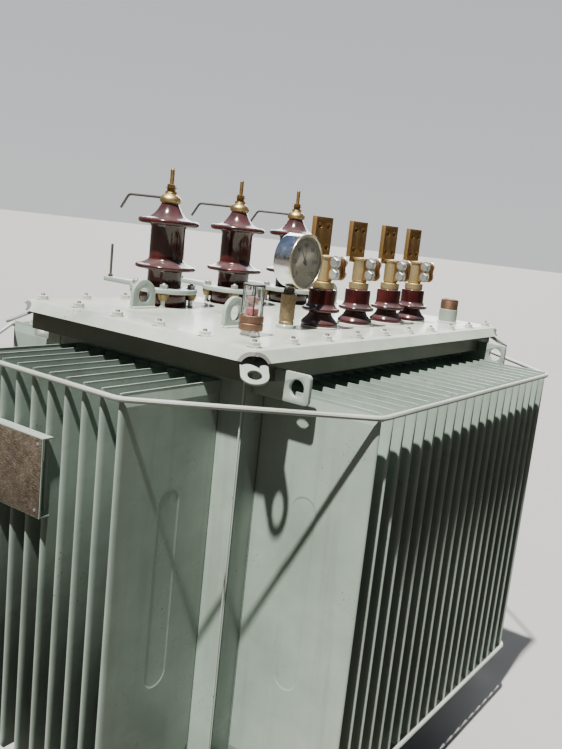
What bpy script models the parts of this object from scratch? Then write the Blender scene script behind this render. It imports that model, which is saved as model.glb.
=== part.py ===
"""Sealed power transformer with corrugated cooling walls.

Metres, +Z up. The long side runs along X, the low-voltage side faces -Y, and the origin is on the
ground below the middle of the outline. Sizes are set about the middle of the tank, and the last step
moves the whole transformer.
"""

import math

import bmesh
import bpy
from mathutils import Vector

# Clearance between pieces that touch
GAP = 0.0003

# Cooling fins: counts and sizes of the four corrugated walls
FIN_PITCH = 0.045
FIN_THICKNESS = 0.010
FIN_HEIGHT = 0.780
SIDE_FIN_COUNT = 20
END_FIN_COUNT = 10
SIDE_FIN_DEPTH = 0.255
END_FIN_DEPTH = 0.243
FIN_SHEET = 0.003
END_FIN_SHIFT = 0.012

# Tank: flat strips left beside the fins, and its levels
SIDE_STRIP = 0.0525
END_STRIP = 0.050
FIN_TO_TANK_BOTTOM = 0.050
FIN_TO_COVER_TOP = 0.084
BASE_PLATE_THICKNESS = 0.008
BASE_PLATE_EDGE = 0.012

# Cover plate with its edges folded down, and an arched notch through each corner
COVER_OVERHANG = 0.073
COVER_THICKNESS = 0.006
LIP_RUN = 0.022
LIP_DROP = 0.024
FOLD_LENGTH = 0.006
NOTCH_RADIUS = 0.034
NOTCH_RISE = 0.0185
NOTCH_DEPTH = 0.070

# Rim angle that the cover is bolted to
RIM_REACH = 0.047
RIM_HEIGHT = 0.058
RIM_LEG = 0.009

# Skids under the tank
SKID_HEIGHT = 0.100
SKID_WIDTH = 0.050
SKID_WEB = 0.008
SKID_FLANGE = 0.009
SKID_SPACING = 0.400
SKID_OVERHANG = 0.060
CROSS_BEAM_SPACING = 0.620

# Round rods welded round the fins
ROD_RADIUS = 0.005
ROD_FROM_FIN_END = 0.008

# Eye plates at the tank corners, sloping down outward
EYE_WIDTH = 0.050
EYE_HOLE_RADIUS = 0.013
EYE_THICKNESS = 0.005
EYE_REACH = 0.036
EYE_BELOW_COVER = 0.0315
EYE_TAIL = 0.022
EYE_SLOPE = math.radians(27)

# Lashing plates on the long sides
LASHING_THICKNESS = 0.009
LASHING_REACH = 0.126
LASHING_TOP = 0.0405
LASHING_HEIGHT = 0.056
LASHING_ROUND = 0.008
LASHING_HOLE_RADIUS = 0.0165
LASHING_HOLE_INSET = 0.028
LASHING_FROM_CORNER = 0.021

# Lifting lugs on the cover
LUG_WIDTH = 0.066
LUG_HEIGHT = 0.062
LUG_THICKNESS = 0.009
LUG_HOLE_RADIUS = 0.016
LUG_X = 0.372
LUG_REAR_Y = 0.144
LUG_FRONT_Y = -0.118

# High-voltage bushings
HV_COUNT = 3
HV_SPACING = 0.245
HV_MIDDLE_X = -0.021
HV_ROW_Y = 0.189
HV_FOOT_RADIUS = 0.055
HV_FOOT_HEIGHT = 0.031
HV_FOOT_ROUND = 0.004
HV_BODY_RADIUS = 0.039
HV_SHED_RADIUS = 0.069
HV_LOWER_SHED_Z = 0.087
HV_LOWER_RIM = 0.007
HV_LOWER_RISE = 0.018
HV_UPPER_SHED_Z = 0.190
HV_UPPER_RIM = 0.010
HV_UNDERCUT = 0.003
HV_BELL_CURVE = 2.9
HV_NECK_RADIUS = 0.0195
HV_PORCELAIN_HEIGHT = 0.2315
HV_CAP_RADIUS = 0.0243
HV_CAP_HEIGHT = 0.020
HV_COLLAR_RADIUS = 0.0135
HV_COLLAR_HEIGHT = 0.005
HV_NUT_RADIUS = 0.0095
HV_NUT_HEIGHT = 0.018
HV_STUD_RADIUS = 0.005
HV_STUD_HEIGHT = 0.310
CLAMP_RADIUS = 0.077
CLAMP_THICKNESS = 0.011
CLAMP_STUD_COUNT = 4
CLAMP_STUD_CIRCLE = 0.063
CLAMP_STUD_RADIUS = 0.005
CLAMP_STUD_ABOVE = 0.012

# Arcing horns of the high-voltage bushings
HORN_RADIUS = 0.003
HORN_REACH = 0.137
HORN_TIP_REACH = 0.162
HORN_TIP_DROP = 0.033
HORN_BAR_REACH = 0.200
HORN_BAR_WIDTH = 0.026
HORN_PIN_REACH = 0.183
HORN_PIN_HEIGHT = 0.083

# Low-voltage bushings
LV_COUNT = 4
LV_SPACING = 0.150
LV_LAST_SPACING = 0.130
LV_FIRST_X = -0.138
LV_ROW_Y = -0.168
LV_BELL_RADIUS = 0.041
LV_BELL_HEIGHT = 0.030
LV_NECK_RADIUS = 0.029
LV_SHED_RADIUS = 0.0425
LV_SHED_Z = 0.040
LV_SHED_RIM = 0.006
LV_SHED_RISE = 0.013
LV_BODY_RADIUS = 0.030
LV_PORCELAIN_HEIGHT = 0.085
LV_PORCELAIN_ROUND = 0.003
LV_GLAND_RADIUS = 0.0235
LV_GLAND_HEIGHT = 0.013
LV_CLAMP_SEAT = 0.004
LV_CLAMP_RADIUS = 0.0185
LV_CLAMP_HEIGHT = 0.060
LV_FLANGE_LIP = 0.0025
LV_FLANGE_HEIGHT = 0.006
LV_EAR_REACH = 0.046
LV_EAR_BELOW_TOP = 0.010
LV_EAR_HEIGHT = 0.042
LV_EAR_ROUND = 0.009
LV_EAR_THICKNESS = 0.008
LV_EAR_SPLIT = 0.008
FLAG_WIDTH = 0.065
FLAG_HEIGHT = 0.082
FLAG_THICKNESS = 0.011
FLAG_SET_BACK = 0.014
FLAG_ROOT = 0.012
FLAG_HOLE_RADIUS = 0.007
FLAG_HOLE_ACROSS = 0.033
FLAG_HOLE_UP = 0.045

# Dial thermometer
DIAL_X = -0.243
DIAL_Y = -0.154
DIAL_RADIUS = 0.058
DIAL_DEPTH = 0.048
DIAL_FRONT = 0.038
DIAL_AXIS_HEIGHT = 0.143
DIAL_RIM = 0.005
DIAL_BEZEL_STEP = 0.002
DIAL_GLASS_INSET = 0.004
DIAL_GROOVE = 0.001
DIAL_BACK_ROUND = 0.004
STEM_RADIUS = 0.016
STEM_FOOT_RADIUS = 0.021
STEM_FOOT_HEIGHT = 0.008
STEM_NECK_RADIUS = 0.0096
STEM_NECK_HEIGHT = 0.010
STEM_SHOULDER = 0.004

# Oil gauge
GAUGE_X = -0.424
GAUGE_Y = -0.204
GAUGE_PIPE_RADIUS = 0.018
GAUGE_PIPE_HEIGHT = 0.010
GAUGE_UNION_RADIUS = 0.0235
GAUGE_UNION_HEIGHT = 0.030
GAUGE_GLASS_RADIUS = 0.0195
GAUGE_GLASS_WALL = 0.003
GAUGE_GLASS_HEIGHT = 0.054
GAUGE_LID_HEIGHT = 0.004
GAUGE_LID_LIP = 0.0015
FLOAT_RADIUS = 0.012
FLOAT_HEIGHT = 0.034

# Filler pipe
FILLER_X = 0.433
FILLER_Y = -0.213
FILLER_RADIUS = 0.025
FILLER_HEIGHT = 0.037
FILLER_CAP_RADIUS = 0.0245
FILLER_CAP_HEIGHT = 0.026
FILLER_CAP_ROUND = 0.002

# Rating plate and its folded bracket
PLATE_Y = 0.066
PLATE_WIDTH = 0.185
PLATE_HEIGHT = 0.135
PLATE_THICKNESS = 0.0015
PLATE_BELOW_COVER = 0.202
BRACKET_BORDER = 0.006
BRACKET_SHEET = 0.003
BRACKET_DEPTH = 0.022

# Levels and extents that follow from the sizes above
SIDE_BLOCK = (SIDE_FIN_COUNT - 1) * FIN_PITCH + FIN_THICKNESS
END_BLOCK = (END_FIN_COUNT - 1) * FIN_PITCH + FIN_THICKNESS
TANK_LENGTH = SIDE_BLOCK + 2 * SIDE_STRIP
TANK_WIDTH = END_BLOCK + 2 * END_STRIP
TANK_BOTTOM = SKID_HEIGHT + GAP
FIN_BOTTOM = TANK_BOTTOM + FIN_TO_TANK_BOTTOM
FIN_TOP = FIN_BOTTOM + FIN_HEIGHT
COVER_TOP = FIN_TOP + FIN_TO_COVER_TOP
COVER_UNDERSIDE = COVER_TOP - COVER_THICKNESS
COVER_LENGTH = TANK_LENGTH + 2 * COVER_OVERHANG
COVER_WIDTH = TANK_WIDTH + 2 * COVER_OVERHANG
RIM_TOP = COVER_UNDERSIDE - GAP
LEFT_REACH = TANK_LENGTH / 2 + END_FIN_DEPTH + GAP + BRACKET_DEPTH + GAP + PLATE_THICKNESS
RIGHT_REACH = TANK_LENGTH / 2 + END_FIN_DEPTH + GAP + 2 * ROD_RADIUS
RIM_BOTTOM = RIM_TOP - RIM_HEIGHT
ON_COVER = COVER_TOP + GAP

# Smoothness of round shapes, as sides of a full turn
FINE_SIDES = 24
ROUND_SIDES = 16
SMALL_SIDES = 8
BELL_STEPS = 5
SMOOTH_ANGLE = math.radians(40)


def clear_scene():
    """Remove whatever the starting scene holds."""
    for obj in list(bpy.data.objects):
        bpy.data.objects.remove(obj, do_unlink=True)


def finish(name, colour, roughness, metallic):
    """Return a plain material."""
    material = bpy.data.materials.new(name)
    material.use_nodes = True
    shader = material.node_tree.nodes["Principled BSDF"]
    shader.inputs["Base Color"].default_value = (*colour, 1.0)
    shader.inputs["Roughness"].default_value = roughness
    shader.inputs["Metallic"].default_value = metallic
    return material


def add(name, shape, material=None, smooth=False):
    """Turn a bmesh into an object, and return the object."""
    bmesh.ops.recalc_face_normals(shape, faces=shape.faces)
    mesh = bpy.data.meshes.new(name)
    shape.to_mesh(mesh)
    shape.free()
    obj = bpy.data.objects.new(name, mesh)
    bpy.context.scene.collection.objects.link(obj)
    if material:
        mesh.materials.append(material)
    if smooth:
        mesh.shade_smooth()
        mesh.set_sharp_from_angle(angle=SMOOTH_ANGLE)
    return obj


def helper(obj):
    """Hide a shape that only cuts or joins another."""
    obj.hide_render = True
    obj.display_type = "WIRE"
    return obj


def combine(target, others, operation):
    """Cut the other shapes from the target, or join them to it."""
    for other in others:
        change = target.modifiers.new(other.name, "BOOLEAN")
        change.operation = operation
        change.solver = "EXACT"
        change.object = helper(other)
    return target


def cut(target, *cutters):
    """Cut shapes from the target."""
    return combine(target, cutters, "DIFFERENCE")


def join(target, *others):
    """Join shapes to the target."""
    return combine(target, others, "UNION")


def box(name, low, high, material=None):
    """A box between two opposite corners."""
    shape = bmesh.new()
    bmesh.ops.create_cube(shape, size=1.0)
    for vertex in shape.verts:
        for axis in range(3):
            vertex.co[axis] = high[axis] if vertex.co[axis] > 0 else low[axis]
    return add(name, shape, material)


def arc(centre, radius, start, end, steps):
    """Points on an arc, with both ends, for angles in degrees."""
    angles = [math.radians(start + (end - start) * i / steps) for i in range(steps + 1)]
    return [(centre[0] + radius * math.cos(a), centre[1] + radius * math.sin(a)) for a in angles]


def prism(name, outline, low, high, place, material=None, smooth=False):
    """Extrude an outline from low to high. place(a, b, h) gives the position of a point."""
    shape = bmesh.new()
    rings = [[shape.verts.new(place(a, b, h)) for a, b in outline] for h in (low, high)]
    shape.faces.new(rings[0])
    shape.faces.new(rings[1])
    for i, vertex in enumerate(rings[0]):
        after = (i + 1) % len(outline)
        shape.faces.new((vertex, rings[0][after], rings[1][after], rings[1][i]))
    return add(name, shape, material, smooth)


def upright(a, b, h):
    """Place an outline in plan, extruded upward."""
    return (a, b, h)


def across(a, b, h):
    """Place an outline seen from the front (X, Z), extruded along Y."""
    return (a, h, b)


def along(a, b, h):
    """Place an outline seen from the end (Y, Z), extruded along X."""
    return (h, a, b)


def revolve(name, profile, centre, material=None, sides=ROUND_SIDES, axis="Z"):
    """Turn a profile of (radius, height) points round an axis through the centre."""
    shape = bmesh.new()
    rings = []
    closed = profile[0] == profile[-1]
    for radius, height in profile[:-1] if closed else profile:
        if radius == 0:
            spots = [(0.0, 0.0)]
        else:
            spots = arc((0, 0), radius, 0, 360, sides)[:-1]
        ring = []
        for a, b in spots:
            point = (a, b, height) if axis == "Z" else (a, height, b)
            ring.append(shape.verts.new(Vector(point) + Vector(centre)))
        rings.append(ring)
    if closed:
        rings.append(rings[0])
    for lower, upper in zip(rings, rings[1:]):
        for i in range(sides):
            after = (i + 1) % sides
            corners = [lower[i % len(lower)], lower[after % len(lower)]]
            corners += [upper[after % len(upper)], upper[i % len(upper)]]
            shape.faces.new(list(dict.fromkeys(corners)))
    return add(name, shape, material, smooth=True)


def tube(name, path, radius, closed, material=None, sides=SMALL_SIDES):
    """Sweep a circle along a path of straight runs with mitred corners."""
    shape = bmesh.new()
    points = [Vector(p) for p in path]
    count = len(points)
    rings = []
    for i, point in enumerate(points):
        before = points[i - 1] if closed or i else None
        after = points[(i + 1) % count] if closed or i < count - 1 else None
        arriving = (point - before).normalized() if before else (after - point).normalized()
        leaving = (after - point).normalized() if after else arriving
        along_path = (arriving + leaving).normalized()
        stretch = 1 / arriving.dot(along_path)
        normal = leaving.cross(arriving) if arriving.cross(leaving).length > 1e-6 else None
        if normal is None:
            normal = Vector((0, 0, 1)) if abs(arriving.z) < 0.9 else Vector((1, 0, 0))
        normal = normal.normalized()
        if normal.dot(rings[-1][1] if rings else normal) < 0:
            normal = -normal
        side = normal.cross(along_path).normalized() * stretch
        ring = []
        for a, b in arc((0, 0), radius, 0, 360, sides)[:-1]:
            ring.append(shape.verts.new(point + normal * a + side * b))
        rings.append((ring, normal))
    pairs = zip(rings, rings[1:] + rings[:1]) if closed else zip(rings, rings[1:])
    for (lower, _), (upper, _) in pairs:
        for i in range(sides):
            after = (i + 1) % sides
            shape.faces.new((lower[i], lower[after], upper[after], upper[i]))
    if not closed:
        shape.faces.new(rings[0][0])
        shape.faces.new(rings[-1][0])
    return add(name, shape, material, smooth=True)


def fin_outline(count, depth):
    """Outline of a corrugated wall in plan: its sheet, and fins with rounded outer edges."""
    length = (count - 1) * FIN_PITCH + FIN_THICKNESS
    half = FIN_THICKNESS / 2
    points = [(-length / 2, GAP)]
    for i in range(count):
        middle = -length / 2 + half + i * FIN_PITCH
        root = GAP + FIN_SHEET
        if i:
            points.append((middle - half, root))
        points += arc((middle, depth - half), half, 180, 0, 4)
        if i < count - 1:
            points.append((middle + half, root))
    points.append((length / 2, GAP))
    return points


def build_fin_walls(paint):
    """The four corrugated walls."""
    half_length = TANK_LENGTH / 2
    half_width = TANK_WIDTH / 2
    side = fin_outline(SIDE_FIN_COUNT, SIDE_FIN_DEPTH)
    end = fin_outline(END_FIN_COUNT, END_FIN_DEPTH)
    places = {
        "front_fin_wall": (side, lambda a, b, h: (a, -half_width - b, h)),
        "rear_fin_wall": (side, lambda a, b, h: (a, half_width + b, h)),
        "left_fin_wall": (end, lambda a, b, h: (-half_length - b, a + END_FIN_SHIFT, h)),
        "right_fin_wall": (end, lambda a, b, h: (half_length + b, a + END_FIN_SHIFT, h)),
    }
    for name, (outline, place) in places.items():
        prism(name, outline, FIN_BOTTOM, FIN_TOP, place, paint, smooth=True)


def build_tank(paint):
    """The tank box with its base plate."""
    half_length = TANK_LENGTH / 2
    half_width = TANK_WIDTH / 2
    tank = box(
        "tank_body",
        (-half_length, -half_width, TANK_BOTTOM),
        (half_length, half_width, RIM_TOP),
        paint,
    )
    edge = BASE_PLATE_EDGE
    plate = box(
        "base_plate",
        (-half_length - edge, -half_width - edge, TANK_BOTTOM),
        (half_length + edge, half_width + edge, TANK_BOTTOM + BASE_PLATE_THICKNESS),
    )
    join(tank, plate)


def rectangle(half_x, half_y):
    """Corners of a rectangle about the middle."""
    return [(-half_x, -half_y), (half_x, -half_y), (half_x, half_y), (-half_x, half_y)]


def build_rim(paint):
    """The angle frame that carries the cover bolts."""
    half_length = TANK_LENGTH / 2
    half_width = TANK_WIDTH / 2
    reach = RIM_REACH + GAP
    outer = rectangle(half_length + reach, half_width + reach)
    rim = prism("tank_rim", outer, RIM_BOTTOM, RIM_TOP, upright, paint)
    inner = rectangle(half_length + GAP, half_width + GAP)
    below = rectangle(half_length + reach - RIM_LEG, half_width + reach - RIM_LEG)
    bore = prism("rim_bore", inner, RIM_BOTTOM - RIM_LEG, RIM_TOP + RIM_LEG, upright)
    hollow = prism("rim_hollow", below, RIM_BOTTOM - RIM_LEG, RIM_TOP - RIM_LEG, upright)
    cut(rim, bore, hollow)


def build_cover(paint):
    """The cover plate: flat top, edges folded down all round, and a notch at each corner."""
    half_length = COVER_LENGTH / 2
    half_width = COVER_WIDTH / 2
    lip = math.hypot(LIP_RUN, LIP_DROP)
    fold_run = FOLD_LENGTH * LIP_RUN / lip
    fold_drop = FOLD_LENGTH * LIP_DROP / lip
    levels = [
        (LIP_RUN + COVER_THICKNESS / 2, COVER_UNDERSIDE),
        (COVER_THICKNESS, COVER_TOP - LIP_DROP),
        (0.0, COVER_TOP - LIP_DROP),
        (LIP_RUN - fold_run, COVER_TOP - fold_drop),
        (LIP_RUN + FOLD_LENGTH, COVER_TOP),
    ]
    shape = bmesh.new()
    rings = []
    for inset, height in levels:
        corners = rectangle(half_length - inset, half_width - inset)
        rings.append([shape.verts.new((x, y, height)) for x, y in corners])
    shape.faces.new(rings[0])
    shape.faces.new(rings[-1])
    for lower, upper in zip(rings, rings[1:]):
        for i in range(4):
            after = (i + 1) % 4
            shape.faces.new((lower[i], lower[after], upper[after], upper[i]))
    cover = add("tank_cover", shape, paint)
    level = COVER_TOP - LIP_DROP + NOTCH_RISE - NOTCH_RADIUS
    ring = arc((0, level), NOTCH_RADIUS, 0, 360, FINE_SIDES)[:-1]
    for i, (x, y) in enumerate(rectangle(half_length, half_width)):
        turn = math.atan2(math.copysign(1, y), math.copysign(1, x))
        cos, sin = math.cos(turn), math.sin(turn)

        def outward(a, z, h, x=x, y=y, cos=cos, sin=sin):
            return (x + h * cos - a * sin, y + h * sin + a * cos, z)

        cut(cover, prism(f"corner_notch_{i + 1}", ring, -NOTCH_DEPTH, NOTCH_DEPTH, outward))


def build_skids(paint):
    """Two channel skids with cross beams between them."""
    half = COVER_LENGTH / 2 - SKID_OVERHANG
    inner = SKID_WIDTH - SKID_WEB
    outline = [
        (0, 0),
        (SKID_WIDTH, 0),
        (SKID_WIDTH, SKID_HEIGHT),
        (0, SKID_HEIGHT),
        (0, SKID_HEIGHT - SKID_FLANGE),
        (inner, SKID_HEIGHT - SKID_FLANGE),
        (inner, SKID_FLANGE),
        (0, SKID_FLANGE),
    ]
    skids = []
    for side in (-1, 1):
        middle = side * SKID_SPACING / 2
        placed = [(middle - side * (y - SKID_WIDTH / 2), z) for y, z in outline]
        skids.append(prism("skid", placed, -half, half, along, paint))
    frame = skids[0]
    frame.name = "base_frame"
    join(frame, skids[1])
    reach = SKID_SPACING / 2 - SKID_WIDTH / 2 + SKID_WEB / 2
    for side in (-1, 1):
        x = side * CROSS_BEAM_SPACING / 2
        low = (x - SKID_WIDTH / 2, -reach, SKID_FLANGE * 2)
        high = (x + SKID_WIDTH / 2, reach, SKID_HEIGHT)
        join(frame, box("cross_beam", low, high))


def build_tie_rods(steel):
    """Round rods welded round the outer edges of all fins, near their top and near their bottom."""
    off = ROD_RADIUS + GAP
    front = TANK_WIDTH / 2 + SIDE_FIN_DEPTH + off
    side = TANK_LENGTH / 2 + END_FIN_DEPTH + off
    along_side = SIDE_BLOCK / 2
    low = END_FIN_SHIFT - END_BLOCK / 2
    high = END_FIN_SHIFT + END_BLOCK / 2
    plan = [(-along_side, -front), (along_side, -front), (side, low), (side, high)]
    plan += [(along_side, front), (-along_side, front), (-side, high), (-side, low)]
    levels = {
        "top_tie_rod": FIN_TOP - ROD_FROM_FIN_END,
        "bottom_tie_rod": FIN_BOTTOM + ROD_FROM_FIN_END,
    }
    for name, height in levels.items():
        tube(name, [(x, y, height) for x, y in plan], ROD_RADIUS, True, steel)


def build_corner_eyes(paint):
    """An eye plate welded round each corner of the rim, sloping down outward."""
    half = EYE_WIDTH / 2
    cos_slope, sin_slope = math.cos(EYE_SLOPE), math.sin(EYE_SLOPE)
    seat = GAP * 2 / cos_slope
    outline = [(seat, 0), (seat - EYE_TAIL / cos_slope, -EYE_TAIL), (0, -half)]
    outline += arc((EYE_REACH, 0), half, -90, 90, 12)
    outline += [(0, half), (seat - EYE_TAIL / cos_slope, EYE_TAIL)]
    corner_x = TANK_LENGTH / 2 + RIM_REACH + GAP
    corner_y = TANK_WIDTH / 2 + RIM_REACH + GAP
    top = COVER_TOP - EYE_BELOW_COVER
    depth = EYE_THICKNESS / cos_slope
    ring = arc((EYE_REACH, 0), EYE_HOLE_RADIUS, 0, 360, ROUND_SIDES)[:-1]
    names = {"front_left": (-1, -1), "front_right": (1, -1), "rear_right": (1, 1), "rear_left": (-1, 1)}
    for name, (sx, sy) in names.items():
        turn = math.atan2(sy, sx)
        cos, sin = math.cos(turn), math.sin(turn)

        def level(out, v, z, sx=sx, sy=sy, cos=cos, sin=sin):
            return (sx * corner_x + out * cos - v * sin, sy * corner_y + out * sin + v * cos, z)

        def plumb(u, v, h, level=level):
            return level(u * cos_slope, v, top - u * sin_slope + h)

        def square(u, v, h, level=level):
            return level(u * cos_slope + h * sin_slope, v, top - u * sin_slope + h * cos_slope)

        eye = prism(f"corner_eye_{name}", outline, -depth, 0, plumb, paint)
        reach = EYE_THICKNESS
        cut(eye, prism(f"eye_hole_{name}", ring, -reach * 2, reach, square))


def build_lashing_plates(paint):
    """Upright plates with a round hole, beside the corners of the long walls."""
    wall = TANK_WIDTH / 2
    outer = wall + LASHING_REACH
    top = COVER_TOP - LASHING_TOP
    low = top - LASHING_HEIGHT
    rim_face = wall + RIM_REACH + GAP * 2
    under_rim = RIM_BOTTOM - GAP
    rounding = LASHING_ROUND
    outline = [(wall + GAP, low)]
    outline += arc((outer - rounding, low + rounding), rounding, -90, 0, 3)
    outline += arc((outer - rounding, top - rounding), rounding, 0, 90, 3)
    outline += [(rim_face, top), (rim_face, under_rim), (wall + GAP, under_rim)]
    hole = (outer - LASHING_HOLE_INSET, (top + low) / 2)
    x = TANK_LENGTH / 2 - LASHING_FROM_CORNER
    for end, sx in (("left", -1), ("right", 1)):
        for side, sy in (("front", -1), ("rear", 1)):
            low_x = sx * x - LASHING_THICKNESS / 2
            high_x = sx * x + LASHING_THICKNESS / 2
            placed = [(sy * y, z) for y, z in outline]
            plate = prism(f"lashing_plate_{side}_{end}", placed, low_x, high_x, along, paint)
            ring = arc((sy * hole[0], hole[1]), LASHING_HOLE_RADIUS, 0, 360, ROUND_SIDES)[:-1]
            reach = LASHING_THICKNESS
            cut(plate, prism("lashing_hole", ring, low_x - reach, high_x + reach, along))


def build_lifting_lugs(paint):
    """Round-topped lifting lugs standing on the cover."""
    half = LUG_WIDTH / 2
    for end, sx in (("left", -1), ("right", 1)):
        for side, y in (("front", LUG_FRONT_Y), ("rear", LUG_REAR_Y)):
            x = sx * LUG_X
            shoulder = ON_COVER + LUG_HEIGHT - half
            outline = [(x - half, ON_COVER), (x + half, ON_COVER)]
            outline += arc((x, shoulder), half, 0, 180, 12)
            low, high = y - LUG_THICKNESS / 2, y + LUG_THICKNESS / 2
            lug = prism(f"lifting_lug_{side}_{end}", outline, low, high, across, paint)
            ring = arc((x, shoulder), LUG_HOLE_RADIUS, 0, 360, ROUND_SIDES)[:-1]
            reach = LUG_THICKNESS
            cut(lug, prism("lug_hole", ring, low - reach, high + reach, across))


def shed_rim(radius, height, rim):
    """The rounded edge of a porcelain shed, from its underside to its top."""
    return arc((radius - rim / 2, height), rim / 2, -90, 75, 3)


def hv_porcelain_profile():
    """Profile of a high-voltage porcelain: foot, lower shed, and a bell that ends in the neck."""
    body = HV_BODY_RADIUS
    shed = HV_SHED_RADIUS
    lower = HV_LOWER_SHED_Z
    upper = HV_UPPER_SHED_Z
    flare = shed - body
    profile = [
        (0, 0),
        (HV_FOOT_RADIUS, 0),
        (HV_FOOT_RADIUS, HV_FOOT_HEIGHT - HV_FOOT_ROUND),
        (HV_FOOT_RADIUS - HV_FOOT_ROUND, HV_FOOT_HEIGHT),
        (body, HV_FOOT_HEIGHT),
        (body, lower - HV_LOWER_RIM / 2 - HV_UNDERCUT),
    ]
    profile += shed_rim(shed, lower, HV_LOWER_RIM)
    profile += [
        (body + flare * 0.40, lower + HV_LOWER_RISE * 0.50),
        (body + flare * 0.12, lower + HV_LOWER_RISE * 0.78),
        (body, lower + HV_LOWER_RISE),
        (body, upper - HV_UPPER_RIM / 2 - HV_UNDERCUT),
    ]
    profile += shed_rim(shed, upper, HV_UPPER_RIM)
    widest = shed - HV_UPPER_RIM / 2
    start = upper + HV_UPPER_RIM / 2
    for i in range(1, BELL_STEPS + 1):
        share = i / BELL_STEPS
        radius = widest + (HV_NECK_RADIUS - widest) * share
        profile.append((radius, start + (HV_PORCELAIN_HEIGHT - start) * share**HV_BELL_CURVE))
    profile.append((0, HV_PORCELAIN_HEIGHT))
    return profile


def hv_terminal_profile():
    """Profile of the domed cap, its collar, nut and stud, from the porcelain up."""
    base = HV_PORCELAIN_HEIGHT + GAP
    cap = HV_CAP_RADIUS
    dome = base + HV_CAP_HEIGHT
    collar = dome + HV_COLLAR_HEIGHT
    nut = collar + HV_NUT_HEIGHT
    return [
        (0, base),
        (cap * 0.86, base),
        (cap, base + HV_CAP_HEIGHT * 0.25),
        (cap * 0.99, base + HV_CAP_HEIGHT * 0.50),
        (cap * 0.86, base + HV_CAP_HEIGHT * 0.76),
        (HV_COLLAR_RADIUS, dome),
        (HV_COLLAR_RADIUS * 0.95, collar),
        (HV_NUT_RADIUS, collar),
        (HV_NUT_RADIUS, nut),
        (HV_STUD_RADIUS, nut),
        (HV_STUD_RADIUS, HV_STUD_HEIGHT - HV_STUD_RADIUS * 0.4),
        (HV_STUD_RADIUS * 0.6, HV_STUD_HEIGHT),
        (0, HV_STUD_HEIGHT),
    ]


def build_hv_bushings(porcelain, brass, paint):
    """Three high-voltage bushings, each with a clamp ring, a terminal and two arcing horns."""
    for i in range(HV_COUNT):
        x = HV_MIDDLE_X + (i - (HV_COUNT - 1) / 2) * HV_SPACING
        y = HV_ROW_Y
        number = i + 1
        foot = (x, y, ON_COVER)
        revolve(f"hv_porcelain_{number}", hv_porcelain_profile(), foot, porcelain, FINE_SIDES)
        build_hv_clamp(number, x, y, paint)
        terminal = revolve(f"hv_terminal_{number}", hv_terminal_profile(), foot, brass)
        horn_z = ON_COVER + HV_PORCELAIN_HEIGHT + HV_CAP_HEIGHT * 0.6
        path = [(x, y, horn_z), (x, y + HORN_REACH, horn_z)]
        path.append((x, y + HORN_TIP_REACH, horn_z - HORN_TIP_DROP))
        join(terminal, tube(f"horn_{number}", path, HORN_RADIUS, False))


def build_hv_clamp(number, x, y, paint):
    """The clamp ring over a porcelain foot, with its studs and the bar and pin of the lower horn."""
    low = ON_COVER + HV_FOOT_HEIGHT + GAP
    high = low + CLAMP_THICKNESS
    outline = arc((x, y), CLAMP_RADIUS, 0, 360, FINE_SIDES)[:-1]
    clamp = prism(f"hv_clamp_{number}", outline, low, high, upright, paint)
    half = HORN_BAR_WIDTH / 2
    start = y + (HV_BODY_RADIUS + CLAMP_RADIUS) / 2
    bar = [(x - half, start), (x + half, start)]
    bar += arc((x, y + HORN_BAR_REACH - half), half, 0, 180, 8)
    pin_top = CLAMP_THICKNESS / 2 + HORN_PIN_HEIGHT
    pin = [(0, 0), (HORN_RADIUS, 0), (HORN_RADIUS, pin_top), (0, pin_top)]
    pin_foot = (x, y + HORN_PIN_REACH, low + CLAMP_THICKNESS / 2)
    join(
        clamp,
        prism("horn_bar", bar, low, high, upright),
        revolve("horn_pin", pin, pin_foot, sides=SMALL_SIDES),
    )
    stud_top = high - ON_COVER + CLAMP_STUD_ABOVE
    stud = [(0, 0), (CLAMP_STUD_RADIUS, 0), (CLAMP_STUD_RADIUS, stud_top), (0, stud_top)]
    for i in range(CLAMP_STUD_COUNT):
        turn = 360 * (i + 0.5) / CLAMP_STUD_COUNT
        spot = arc((x, y), CLAMP_STUD_CIRCLE, turn, turn, 1)[0]
        join(clamp, revolve("clamp_stud", stud, (*spot, ON_COVER), sides=SMALL_SIDES))
    bore = arc((x, y), HV_BODY_RADIUS + GAP * 2, 0, 360, FINE_SIDES)[:-1]
    cut(clamp, prism("clamp_bore", bore, low - CLAMP_THICKNESS, high + CLAMP_THICKNESS, upright))


def lv_porcelain_profile():
    """Profile of a low-voltage porcelain: a bell, a neck, a shed and a plain top."""
    bell = LV_BELL_RADIUS
    neck = LV_NECK_RADIUS
    shed = LV_SHED_RADIUS
    body = LV_BODY_RADIUS
    profile = [(0, 0), (bell * 0.93, 0)]
    profile += [(bell, LV_BELL_HEIGHT * 0.16), (bell * 0.985, LV_BELL_HEIGHT * 0.36)]
    profile += [(bell * 0.91, LV_BELL_HEIGHT * 0.64), (neck + (bell - neck) * 0.30, LV_BELL_HEIGHT * 0.90)]
    profile += [(neck, LV_BELL_HEIGHT), (neck, LV_SHED_Z - LV_SHED_RIM)]
    profile += shed_rim(shed, LV_SHED_Z, LV_SHED_RIM)
    profile += [(body + (shed - body) * 0.30, LV_SHED_Z + LV_SHED_RISE * 0.60)]
    profile += [(body, LV_SHED_Z + LV_SHED_RISE)]
    profile += [(body, LV_PORCELAIN_HEIGHT - LV_PORCELAIN_ROUND)]
    profile += [(body - LV_PORCELAIN_ROUND, LV_PORCELAIN_HEIGHT), (0, LV_PORCELAIN_HEIGHT)]
    return profile


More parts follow.
